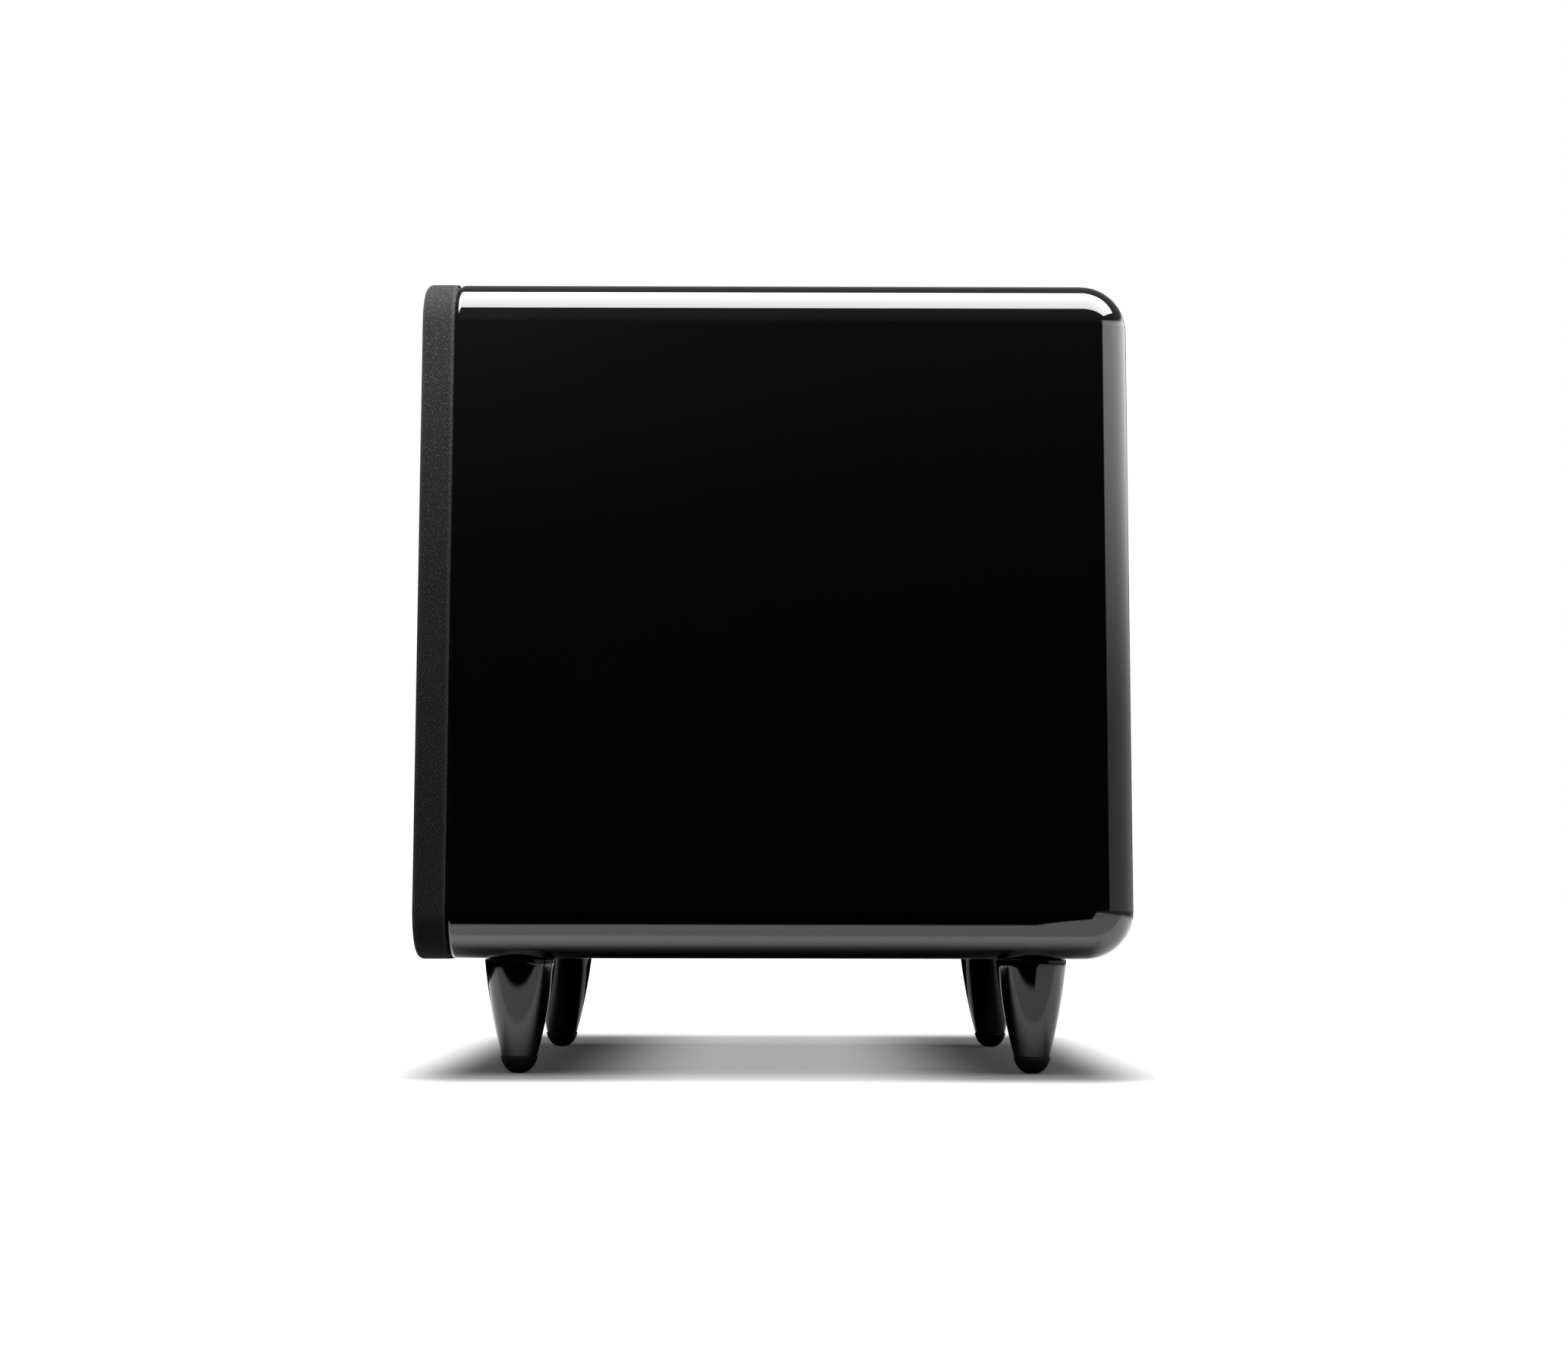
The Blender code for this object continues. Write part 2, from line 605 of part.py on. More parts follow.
def make_surround(rubber):
    """A half roll between a lip on the basket's flange and a lip on the cone's rim."""
    middle = CONE_RADIUS + ROLL_RADIUS
    thick = SURROUND_THICKNESS
    low = ROLL_RADIUS - thick / 2
    high = ROLL_RADIUS + thick / 2
    lip = -GAP - thick
    over = arc((middle, -GAP - thick / 2), (high, high), 0, -180, ROLL_STEPS)
    under = arc((middle, -GAP - thick / 2), (low, low), -180, 0, ROLL_STEPS)
    outline = [(SURROUND_RADIUS, -GAP), (SURROUND_RADIUS, lip)] + over
    outline += [(CONE_RADIUS - SURROUND_LIP, lip), (CONE_RADIUS - SURROUND_LIP, -GAP)] + under
    add_mesh("woofer_surround", turned(outline, FINE), rubber, matrix=at_setback(0, 0, MIDDLE))


def make_spider(fibre):
    """A disc pressed into rings of waves, from the coil to the basket's ledge."""
    inner = COIL_RADIUS + GAP
    wave_end = SPIDER_RADIUS - LEDGE
    flat = SPIDER_SETBACK - GAP - SPIDER_THICKNESS
    steps = 4 * SPIDER_ROLLS
    front = []
    for step in range(steps + 1):
        share = step / steps
        wave = SPIDER_WAVE * math.sin(math.tau * SPIDER_ROLLS * share)
        front.append((inner + (wave_end - inner) * share, flat + wave))
    front.append((SPIDER_RADIUS, flat))
    back = [(radius, setback + SPIDER_THICKNESS) for radius, setback in reversed(front)]
    add_mesh("woofer_spider", turned(front + back, COARSE), fibre, matrix=at_setback(0, 0, MIDDLE))


def make_basket(paint):
    """A pressed frame: a flange, ribs that close in to the spider's ledge, and a cup for the motor."""
    mouth = SURROUND_RADIUS - SURROUND_LIP - GAP
    ledge = SPIDER_RADIUS + GAP + PLAY
    cup = SPIDER_RADIUS - LEDGE
    wall = BASKET_WALL
    plate = PLATE_SETBACK
    outline = [
        (WOOFER_RADIUS, 0.0),
        (mouth, 0.0),
        (mouth - wall, FLANGE_THICKNESS + wall),
        (ledge, SPIDER_SETBACK - 2 * SPIDER_WAVE),
        (ledge, SPIDER_SETBACK),
        (cup, SPIDER_SETBACK),
        (cup, plate),
        (PLATE_BORE + GAP, plate),
        (PLATE_BORE + GAP, plate + wall),
        (cup + wall, plate + wall),
        (cup + wall, SPIDER_SETBACK + wall),
        (ledge + wall, SPIDER_SETBACK + wall),
        (ledge + wall, SPIDER_SETBACK - 2 * SPIDER_WAVE),
        (mouth, FLANGE_THICKNESS + wall),
        (mouth, FLANGE_THICKNESS),
        (WOOFER_RADIUS, FLANGE_THICKNESS),
    ]
    basket = add_mesh("woofer_basket", turned(outline, FINE), paint, matrix=at_setback(0, 0, MIDDLE))
    # Three bars across the middle open six windows and leave six ribs
    near = FLANGE_THICKNESS + 2 * wall
    far = SPIDER_SETBACK - 2 * SPIDER_WAVE - wall
    window = ledge + wall - BASKET_RIB  # a sixth of the ledge's circle has its radius as its chord
    for index in range(3):
        bar = box((-WOOFER_RADIUS, -window / 2, near), (WOOFER_RADIUS, window / 2, far))
        turn = Matrix.Rotation(math.radians(60 * index), 4, "Z")
        cut(basket, f"basket_window_{index}", bar, at_setback(0, 0, MIDDLE) @ turn)
    for index, (x, z) in enumerate(woofer_screw_places()):
        hole = rod(WOOFER_SCREW_RADIUS + GAP, -OVERLAP, FLANGE_THICKNESS + OVERLAP)
        cut(basket, f"flange_hole_{index}", hole, at_setback(x, 0, z))


def ring(name, inner, outer, low, high, steps, finish):
    outline = [(inner, low), (outer, low), (outer, high), (inner, high)]
    add_mesh(name, turned(outline, steps), finish, matrix=at_setback(0, 0, MIDDLE))


def make_motor(materials):
    plate = MOTOR_SETBACK
    magnet = plate + TOP_PLATE + GAP
    back = magnet + MAGNET + GAP
    steel = materials["steel"]
    ferrite = materials["ferrite"]
    ring("woofer_top_plate", PLATE_BORE, TOP_PLATE_RADIUS, plate, plate + TOP_PLATE, FINE, steel)
    ring("woofer_magnet", MAGNET_BORE, MAGNET_RADIUS, magnet, magnet + MAGNET, FINE, ferrite)
    outline = [(POLE_VENT, plate), (POLE_RADIUS, plate), (POLE_RADIUS, back), (TOP_PLATE_RADIUS, back)]
    outline += [(TOP_PLATE_RADIUS, back + BACK_PLATE), (POLE_VENT, back + BACK_PLATE)]
    add_mesh("woofer_yoke", turned(outline, FINE), steel, matrix=at_setback(0, 0, MIDDLE))


def make_woofer_fixings(materials):
    gasket = FLANGE_THICKNESS + GAP
    inner = CUTOUT_RADIUS + GAP
    outer = SCREW_CIRCLE - WOOFER_SCREW_RADIUS - GAP
    ring("woofer_gasket", inner, outer, gasket, gasket + WOOFER_GASKET, FINE, materials["foam"])
    head = WOOFER_SCREW_HEAD
    shank = WOOFER_SCREW_RADIUS
    crown = -GAP - head / 2
    outline = [(0.0, crown), (head * CROWN_SHARE, crown), (head, crown + head / 4), (head, -GAP)]
    outline += [(shank, -GAP), (shank, WOOFER_SCREW_LENGTH), (0.0, WOOFER_SCREW_LENGTH)]
    for index, (x, z) in enumerate(woofer_screw_places()):
        screw = turned(outline, SMALL)
        add_mesh(f"woofer_screw_{index + 1}", screw, materials["screw"], matrix=at_setback(x, 0, z))


def make_lead(materials):
    """The woofer's terminal block on the basket's cup, and the lead from it over the magnet to the board."""
    exit_height = MIDDLE + MAGNET_RADIUS + 3 * LEAD_RADIUS
    half = TERMINAL_WIDTH / 2
    near = FACE + SPIDER_SETBACK + BASKET_WALL + GAP
    far = FACE + PLATE_SETBACK + BASKET_WALL - GAP
    bottom = MIDDLE + SPIDER_RADIUS - LEDGE + BASKET_WALL + GAP
    block = box((-half, near, bottom), (half, far, exit_height + 2 * LEAD_RADIUS))
    add_mesh("woofer_terminals", block, materials["board"])
    start = Vector((0.0, far + GAP, exit_height))
    over_port = UNDERSIDE + PORT_LENGTH + 6 * LEAD_RADIUS
    end = Vector((BOARD_WIDTH / 6, BOARD_FACE - BOARD - GAP, over_port))
    reach = (end.y - start.y) / 2
    handles = (start + Vector((0, reach, 0)), end - Vector((0, reach, 0)))
    curve = bpy.data.curves.new("woofer_lead", "CURVE")
    curve.dimensions = "3D"
    curve.bevel_depth = LEAD_RADIUS
    curve.bevel_resolution = 2
    curve.use_fill_caps = True
    spline = curve.splines.new("POLY")
    places = interpolate_bezier(start, *handles, end, LEAD_POINTS)
    spline.points.add(LEAD_POINTS - 1)
    for point, place in zip(spline.points, places):
        point.co = (*place, 1.0)
    curve.materials.append(materials["rubber"])
    bpy.context.scene.collection.objects.link(bpy.data.objects.new("woofer_lead", curve))


def make_tray(paint):
    near = TRAY_FLOOR - TRAY_WALL
    lip = BACK - TRAY_SINK - TRAY_WALL
    rim = BACK - TRAY_SINK
    flange = slab(*FLANGE_SIZE, lip, rim, TRAY_CORNER, TRAY_STEPS, (0, MIDDLE))
    tray = add_mesh("amp_panel", flange, paint)
    size = (TRAY_WIDTH, TRAY_HEIGHT)
    cup = slab(*size, near, rim - OVERLAP, TRAY_CORNER, TRAY_STEPS, (0, MIDDLE))
    join(tray, "tray_cup", cup)
    size = (TRAY_WIDTH - 2 * TRAY_WALL, TRAY_HEIGHT - 2 * TRAY_WALL)
    corner = TRAY_CORNER - TRAY_WALL
    hollow = slab(*size, TRAY_FLOOR, rim + OVERLAP, corner, TRAY_STEPS, (0, MIDDLE))
    cut(tray, "tray_hollow", hollow)
    through = (-TRAY_WALL - OVERLAP, OVERLAP)
    bush = SHAFT_RADIUS + 3 * GAP + PLAY
    round_holes = {name: (place, JACK_RADIUS + GAP) for name, place in JACKS_AT.items()}
    round_holes["level"] = (LEVEL_AT, bush)
    round_holes["crossover"] = (CROSSOVER_AT, bush)
    round_holes["lamp"] = (LAMP_AT, LAMP_RADIUS + GAP)
    for name, (place, radius) in round_holes.items():
        cut(tray, f"{name}_hole", rod(radius, *through), on_tray(place))
    slot = (SLIDER[0] + SWITCH_TRAVEL + 2 * PLAY, SLIDER[1] + 2 * PLAY)
    for name, (right, up) in {"phase": PHASE_AT, "auto": AUTO_AT}.items():
        cut(tray, f"{name}_slot", tray_box((right + SWITCH_TRAVEL / 2, up), slot, *through))
    for name, place, size in (("rocker", ROCKER_AT, ROCKER_BODY), ("inlet", INLET_AT, INLET_BODY)):
        hole = (size[0] + 2 * GAP, size[1] + 2 * GAP)
        cut(tray, f"{name}_hole", tray_box(place, hole, *through))
    for index, place in enumerate(amp_screw_places()):
        hole = rod(AMP_SCREW_RADIUS + GAP, TRAY_DEPTH - TRAY_WALL - OVERLAP, TRAY_DEPTH + OVERLAP)
        cut(tray, f"flange_hole_{index}", hole, on_tray(place))


def make_amp_fixings(materials):
    far = BACK - TRAY_SINK - TRAY_WALL - GAP
    inner = (TRAY_WIDTH + 4 * GAP, TRAY_HEIGHT + 4 * GAP)
    outer = (inner[0] + 2 * GASKET_WIDTH, inner[1] + 2 * GASKET_WIDTH)
    near = far - AMP_GASKET
    strip = slab(*outer, near, far, TRAY_CORNER + GASKET_WIDTH, TRAY_STEPS, (0, MIDDLE))
    gasket = add_mesh("amp_gasket", strip, materials["foam"])
    hole = slab(*inner, near - OVERLAP, far + OVERLAP, TRAY_CORNER, TRAY_STEPS, (0, MIDDLE))
    cut(gasket, "gasket_window", hole)
    head = AMP_SCREW_HEAD
    crown = GAP + head / 2
    outline = [(0.0, crown), (head * CROWN_SHARE, crown), (head, crown - head / 4), (head, GAP)]
    outline += [(AMP_SCREW_RADIUS, GAP), (AMP_SCREW_RADIUS, -AMP_SCREW_LENGTH), (0.0, -AMP_SCREW_LENGTH)]
    for index, place in enumerate(amp_screw_places()):
        screw = turned(outline, SMALL)
        add_mesh(f"amp_screw_{index + 1}", screw, materials["screw"], matrix=on_tray(place, TRAY_DEPTH))


def make_board(materials):
    """The board stands behind the tray and carries the controls' fixed bodies and two tall capacitors."""
    half = BOARD_WIDTH / 2
    low = (-half, BOARD_FACE - BOARD, MIDDLE + BOARD_BOTTOM)
    board = add_mesh("amp_board", box(low, (half, BOARD_FACE, MIDDLE + BOARD_TOP)), materials["board"])
    behind = -TRAY_WALL - BOARD_STANDOFF
    bore = SHAFT_RADIUS - PLAY
    for name, place in {"level": LEVEL_AT, "crossover": CROSSOVER_AT}.items():
        body = tray_box(place, (POT_BODY, POT_BODY), behind - BOARD / 2, -TRAY_WALL - 2 * GAP)
        join(board, f"{name}_pot", body)
        bush = rod(SHAFT_RADIUS + 3 * GAP, -TRAY_WALL - OVERLAP, OVERLAP)
        join(board, f"{name}_bush", bush, on_tray(place))
        hollow = rod(bore, -TRAY_WALL - 2 * SHAFT_RADIUS, 2 * OVERLAP)
        cut(board, f"{name}_bore", hollow, on_tray(place))
    room = -TRAY_WALL - 2 * SLIDER[1]
    for name, (right, up) in {"phase": PHASE_AT, "auto": AUTO_AT}.items():
        centre = (right + SWITCH_TRAVEL / 2, up)
        body = (3 * SLIDER[0] + SWITCH_TRAVEL, 2 * SLIDER[1])
        track = (SLIDER[0] + SWITCH_TRAVEL + 2 * PLAY, SLIDER[1] + 2 * PLAY)
        join(board, f"{name}_body", tray_box(centre, body, behind - BOARD / 2, -TRAY_WALL - 2 * GAP))
        cut(board, f"{name}_track", tray_box(centre, track, room, OVERLAP))
    for side in (-1, 1):
        place = (side * BOARD_WIDTH / 3, BOARD_BOTTOM / 2)
        drum = rod(CAPACITOR_RADIUS, behind - BOARD - CAPACITOR_LENGTH, behind - BOARD / 2)
        join(board, f"capacitor_{side}", drum, on_tray(place))


def make_heatsink(metal):
    """A comb of fins on a base, extruded upwards, bolted flat to the back of the board."""
    width, height = HEATSINK
    base = BOARD_FACE - BOARD - GAP
    root = base - HEATSINK_BASE
    tip = root - HEATSINK_FIN_LENGTH
    pitch = (width - HEATSINK_FIN) / (HEATSINK_FINS - 1)
    outline = [(-width / 2, base), (width / 2, base)]
    for fin in reversed(range(HEATSINK_FINS)):
        left = -width / 2 + fin * pitch
        outline += [(left + HEATSINK_FIN, tip), (left, tip)]
        if fin:
            outline += [(left, root), (left - pitch + HEATSINK_FIN, root)]
    shape = bmesh.new()
    bottom = MIDDLE + BOARD_TOP - height
    face = shape.faces.new([shape.verts.new((x, y, bottom)) for x, y in outline])
    grown = bmesh.ops.extrude_face_region(shape, geom=[face])["geom"]
    moved = [item for item in grown if isinstance(item, bmesh.types.BMVert)]
    bmesh.ops.translate(shape, verts=moved, vec=(0, 0, height))
    add_mesh("amp_heatsink", shape, metal)


def make_transformer(wrap):
    radius = TRANSFORMER_RADIUS
    corner = radius / 5
    height = TRANSFORMER_HEIGHT
    outline = arc((radius - corner, height - corner), (corner, corner), 90, 0, TRAY_STEPS)
    outline += arc((radius - corner, corner), (corner, corner), 0, -90, TRAY_STEPS)
    outline += [(TRANSFORMER_BORE, 0.0), (TRANSFORMER_BORE, height)]
    x = INNER_WIDTH / 2 - TRANSFORMER_MARGIN - radius
    y = BACK - PANEL - TRANSFORMER_MARGIN - radius
    place = Matrix.Translation((x, y, UNDERSIDE + PANEL + GAP))
    add_mesh("amp_transformer", turned(outline, COARSE), wrap, matrix=place)


def make_knobs(materials):
    seat = 2 * SHAFT_RADIUS
    bush = SHAFT_RADIUS + 3 * GAP + PLAY
    knob = [(0.0, KNOB_HEIGHT), (KNOB_RADIUS - 2 * PLAY, KNOB_HEIGHT)]
    knob += [(KNOB_RADIUS - PLAY, KNOB_HEIGHT - PLAY), (KNOB_RADIUS, OVERLAP), (bush, OVERLAP)]
    knob += [(bush, 3 * OVERLAP), (SHAFT_RADIUS + GAP, 3 * OVERLAP)]
    knob += [(SHAFT_RADIUS + GAP, KNOB_HEIGHT - 3 * OVERLAP), (0.0, KNOB_HEIGHT - 3 * OVERLAP)]
    thin = SHAFT_RADIUS - PLAY - GAP
    top = KNOB_HEIGHT - 3 * OVERLAP - GAP
    shaft = [(0.0, top), (SHAFT_RADIUS, top), (SHAFT_RADIUS, 2 * OVERLAP), (thin, 2 * OVERLAP)]
    shaft += [(thin, GAP - TRAY_WALL - seat), (0.0, GAP - TRAY_WALL - seat)]
    low = (-GAP, KNOB_RADIUS / 3, KNOB_HEIGHT - PLAY)
    high = (GAP, KNOB_RADIUS - 3 * PLAY, KNOB_HEIGHT + OVERLAP)
    for name, place in {"level": LEVEL_AT, "crossover": CROSSOVER_AT}.items():
        axis = empty_at(f"{name}_axis", on_tray(place).translation)
        piece = add_mesh(f"{name}_knob", turned(knob, COARSE), materials["knob"], axis, TOWARDS_BACK)
        # Up in the tray is -Y on a piece that lies towards the back
        upright = on_tray(place) @ Matrix.Rotation(math.pi, 4, "Z")
        cut(piece, f"{name}_pointer", box(low, high), upright)
        add_mesh(f"{name}_shaft", turned(shaft, SMALL), materials["alloy"], axis, TOWARDS_BACK)


def make_sliders(plastic):
    depth = -TRAY_WALL - 2 * SLIDER[1] + 2 * GAP
    for name, place in {"phase": PHASE_AT, "auto": AUTO_AT}.items():
        button = add_mesh(f"{name}_slider", tray_box(place, SLIDER, depth, SLIDER[1]), plastic)
        size = (SLIDER[0] / 5, SLIDER[1] + OVERLAP)
        for side in (-1, 1):
            at = (place[0] + side * SLIDER[0] / 5, place[1])
            groove = tray_box(at, size, SLIDER[1] - PLAY, SLIDER[1] + OVERLAP)
            cut(button, f"{name}_groove_{side}", groove)


def make_jacks(brass):
    hole = JACK_BORE
    collar = JACK_COLLAR
    tail = -TRAY_WALL - BOARD_STANDOFF + GAP
    outline = [(0.0, OVERLAP), (hole, OVERLAP), (hole, JACK_LENGTH), (JACK_RADIUS, JACK_LENGTH)]
    outline += [(JACK_RADIUS, 2 * OVERLAP), (collar, 2 * OVERLAP), (collar, GAP), (JACK_RADIUS, GAP)]
    outline += [(JACK_RADIUS, tail), (0.0, tail)]
    for name, place in JACKS_AT.items():
        add_mesh(name, turned(outline, SMALL), brass, matrix=on_tray(place))


def make_lamp(lens):
    dome = arc((0.0, GAP), (LAMP_RADIUS, LAMP_RADIUS), 90, 0, EDGE_STEPS)
    tail = -TRAY_WALL - BOARD_STANDOFF + GAP
    outline = [(0.0, dome[0][1])] + dome[1:] + [(LAMP_RADIUS, tail), (0.0, tail)]
    add_mesh("standby_lamp", turned(outline, SMALL), lens, matrix=on_tray(LAMP_AT))


def make_rocker(materials):
    length = ROCKER[1]
    deep = -length / 2
    bezel = tray_box(ROCKER_AT, ROCKER_BEZEL, GAP, BEZEL)
    housing = add_mesh("rocker_housing", bezel, materials["plastic"])
    join(housing, "rocker_body", tray_box(ROCKER_AT, ROCKER_BODY, deep - 4 * OVERLAP, BEZEL / 2))
    size = (ROCKER[0] + 2 * PLAY, length + 3 * PLAY)
    well = tray_box(ROCKER_AT, size, deep - 2 * OVERLAP, BEZEL + OVERLAP)
    cut(housing, "rocker_well", well)
    # The key is a shallow V in side view, drawn as (up, height) and tipped onto its lower stop
    high = BEZEL + OVERLAP
    waist = BEZEL
    reach = length / 2 - PLAY
    outline = [(-reach, high), (0.0, waist), (reach, high)]
    outline += [(reach / 2, deep + OVERLAP), (-reach / 2, deep + OVERLAP)]
    shape = bmesh.new()
    half = ROCKER[0] / 2
    face = shape.faces.new([shape.verts.new((-half, height, up)) for up, height in outline])
    grown = bmesh.ops.extrude_face_region(shape, geom=[face])["geom"]
    moved = [item for item in grown if isinstance(item, bmesh.types.BMVert)]
    bmesh.ops.translate(shape, verts=moved, vec=(2 * half, 0, 0))
    pivot = empty_at("rocker_pivot", on_tray(ROCKER_AT).translation)
    add_mesh("power_rocker", shape, materials["knob"], pivot, Matrix.Rotation(ROCKER_TILT, 4, "X"))


def make_inlet(plastic):
    deep = BEZEL - INLET_DEPTH
    inlet = add_mesh("mains_inlet", tray_box(INLET_AT, INLET_BEZEL, GAP, BEZEL), plastic)
    join(inlet, "inlet_body", tray_box(INLET_AT, INLET_BODY, deep - BEZEL, BEZEL / 2))
    cut(inlet, "inlet_socket", tray_box(INLET_AT, INLET_SOCKET, deep, BEZEL + OVERLAP))
    for index, (right, up) in enumerate(INLET_PINS_AT):
        place = (INLET_AT[0] + right, INLET_AT[1] + up)
        join(inlet, f"inlet_pin_{index}", tray_box(place, INLET_PIN, deep - OVERLAP, -OVERLAP))


def main():
    for old in list(bpy.data.objects):
        bpy.data.objects.remove(old, do_unlink=True)
    black = (0.012, 0.012, 0.013)
    materials = {
        "lacquer": new_material("gloss_black_lacquer", black, 0.04),
        "gloss": new_material("gloss_black_leg", black, 0.08),
        "cloth": new_material("charcoal_grille_cloth", (0.06, 0.06, 0.062), 0.9),
        "board_wood": new_material("fibreboard", (0.32, 0.24, 0.16), 0.8),
        "fibre": new_material("white_fibre", (0.75, 0.75, 0.72), 0.95),
        "plastic": new_material("black_plastic", (0.03, 0.03, 0.032), 0.5),
        "knob": new_material("satin_black_plastic", (0.02, 0.02, 0.022), 0.35),
        "rubber": new_material("black_rubber", (0.02, 0.02, 0.02), 0.75),
        "foam": new_material("black_foam", (0.05, 0.05, 0.05), 0.95),
        "cone": new_material("black_paper_cone", (0.035, 0.035, 0.037), 0.6),
        "cap": new_material("black_dust_cap", (0.03, 0.03, 0.03), 0.45),
        "copper": new_material("copper_winding", (0.72, 0.36, 0.2), 0.35, 1.0),
        "spider": new_material("amber_woven_spider", (0.55, 0.36, 0.12), 0.9),
        "basket": new_material("black_painted_steel", (0.03, 0.03, 0.03), 0.45),
        "steel": new_material("zinc_plated_steel", (0.6, 0.6, 0.58), 0.35, 1.0),
        "ferrite": new_material("dark_ferrite", (0.08, 0.08, 0.085), 0.6),
        "screw": new_material("black_zinc_screw", (0.05, 0.05, 0.05), 0.35, 1.0),
        "board": new_material("green_circuit_board", (0.02, 0.16, 0.07), 0.4),
        "alloy": new_material("bare_aluminium", (0.7, 0.7, 0.72), 0.4, 1.0),
        "brass": new_material("gold_plated_brass", (0.8, 0.6, 0.25), 0.25, 1.0),
        "wrap": new_material("yellow_transformer_tape", (0.7, 0.6, 0.15), 0.5),
        "lens": new_material("green_lamp_lens", (0.1, 0.5, 0.15), 0.2),
    }
    make_cabinet(materials["lacquer"])
    make_baffle(materials["board_wood"])
    make_brace(materials["board_wood"])
    make_wadding(materials["fibre"])
    make_port(materials["plastic"])
    make_legs(materials["gloss"], materials["rubber"])
    make_grille(materials["cloth"], materials["plastic"], materials["rubber"])
    make_basket(materials["basket"])
    make_motor(materials)
    make_woofer_fixings(materials)
    make_spider(materials["spider"])
    make_moving_woofer(materials)
    make_surround(materials["rubber"])
    make_lead(materials)
    make_tray(materials["basket"])
    make_amp_fixings(materials)
    make_board(materials)
    make_heatsink(materials["alloy"])
    make_transformer(materials["wrap"])
    make_knobs(materials)
    make_sliders(materials["knob"])
    make_jacks(materials["brass"])
    make_lamp(materials["lens"])
    make_rocker(materials)
    make_inlet(materials["plastic"])


main()
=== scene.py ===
"""The looks of a compact powered subwoofer: a gloss lacquered cabinet on four turned legs, with a pull-off
cloth grille in front and a control tray at the back. Metres, +Z up, the grille faces -Y."""

import json
import math

import bmesh
import bpy
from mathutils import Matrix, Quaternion, Vector

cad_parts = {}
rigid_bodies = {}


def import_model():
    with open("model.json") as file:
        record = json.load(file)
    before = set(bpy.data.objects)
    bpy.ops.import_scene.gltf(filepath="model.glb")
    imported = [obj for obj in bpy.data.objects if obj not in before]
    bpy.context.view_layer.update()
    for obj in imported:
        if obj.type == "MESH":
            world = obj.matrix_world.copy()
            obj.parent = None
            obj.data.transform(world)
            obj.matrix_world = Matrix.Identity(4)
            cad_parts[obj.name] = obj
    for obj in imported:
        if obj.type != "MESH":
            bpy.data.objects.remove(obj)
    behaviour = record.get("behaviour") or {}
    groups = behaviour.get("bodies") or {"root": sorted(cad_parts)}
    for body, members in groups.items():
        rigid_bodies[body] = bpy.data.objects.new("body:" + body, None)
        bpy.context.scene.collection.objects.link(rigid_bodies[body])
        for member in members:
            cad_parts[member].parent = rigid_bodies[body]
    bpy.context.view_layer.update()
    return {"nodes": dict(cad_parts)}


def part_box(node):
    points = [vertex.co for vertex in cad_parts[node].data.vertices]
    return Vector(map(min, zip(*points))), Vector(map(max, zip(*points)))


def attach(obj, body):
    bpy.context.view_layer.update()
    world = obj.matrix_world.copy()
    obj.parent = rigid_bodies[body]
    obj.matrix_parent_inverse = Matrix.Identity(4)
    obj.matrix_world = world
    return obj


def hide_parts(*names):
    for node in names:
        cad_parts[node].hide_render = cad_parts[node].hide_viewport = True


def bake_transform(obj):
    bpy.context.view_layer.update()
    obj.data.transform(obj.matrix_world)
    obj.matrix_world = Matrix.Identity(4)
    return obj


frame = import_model()

# ---------------------------------------------------------------------------------------------------------
# The studio. A white room with one big soft light overhead and towards the camera, one softer light behind
# the cabinet, and dark walls elsewhere, so that the black lacquer stays black and its edges light up.

CAMERA_PLACE = (1.071, 0.00115, 0.0679)
CAMERA_PITCH = math.radians(5.779)
CAMERA_YAW = math.radians(0.124)
CAMERA_ROLL = math.radians(0.102)
CAMERA_LENS = 52.51
OVERHEAD_LIGHT = 18.0
OVERHEAD_ACROSS = (-0.275, 0.80)  # the light's edges as slopes: metres sideways for each metre up
OVERHEAD_ALONG = (-1.5, 1.5)
OVERHEAD_SOFT = (0.012, 0.05)
REAR_LIGHT = (0.65, 3.75)  # low down, and higher up
REAR_RISE = (0.07, 0.27)  # sines of the angles where it grows from one to the other
REAR_ACROSS = (-2.2, 0.75)  # slopes sideways for each metre towards the back
REAR_FADE = (-2.2, -0.1)  # slopes where its dim end grows to full strength
REAR_DIM = 0.45
REAR_UP = (-0.05, 0.36)  # sines of the angle above the horizon
REAR_SOFT = (0.05, 0.04)
ROOM_LIGHT = (0.015, 0.235)  # near the horizon, and higher up
ROOM_RISE = (0.1, 0.5)
HORIZON = 0.02  # keeps the slopes from growing without end
FLOOR_COLOUR = 0.22
PLINTH = (0.215, 0.34)  # half the size of the pale table top that the object stands on
PLINTH_ROUND = 0.10
PLINTH_SPREAD = 2.5  # how fast the pale part widens behind the object
PLINTH_BEHIND = 0.12  # where it starts to widen
PLINTH_SOFT = 0.01
PLINTH_END = (0.45, 1.0)  # where it darkens, further back
PLINTH_DARK = 0.15  # what is left of it there
EDGE_LAMP = 6.5
EDGE_LAMP_SIZE = 0.12
EDGE_LAMP_PLACE = (0.20, -0.16, 0.408)
EDGE_LAMP_GAZE = (-0.6, 0.1, -0.75)
# The camera sees a painted shadow on the floor, not a cast one: the floor's glow is cut back under the
# object.
PAPER_COLOUR = 0.03
PAPER_GLOW = 1.15  # the floor's glow, which only the camera sees; the smaller glow under the object is a painted shadow
SHADOW = (0.40, 0.03)  # what is left of the glow in the painted shadow, between the legs and beside them
SHADOW_LEGS = (0.025, 0.100)
SHADOW_END = (0.124, 0.178)
SHADOW_NEAR = (0.123, 0.178)
SHADOW_FAR = (-0.246, -0.165)
# The pale table that reflections see has painted shade under the object and a painted lighter band beside it.
SHADOW_CLOSE = (0.092, 0.145)
SHADOW_DARK = 0.15  # painted shade: what is left of the pale table right under the object
PAINTED_LIGHT_EDGE = (0.146, 0.156)  # painted light: the table is lighter close to the painted shadow
PAINTED_LIGHT_GAIN = 1.5


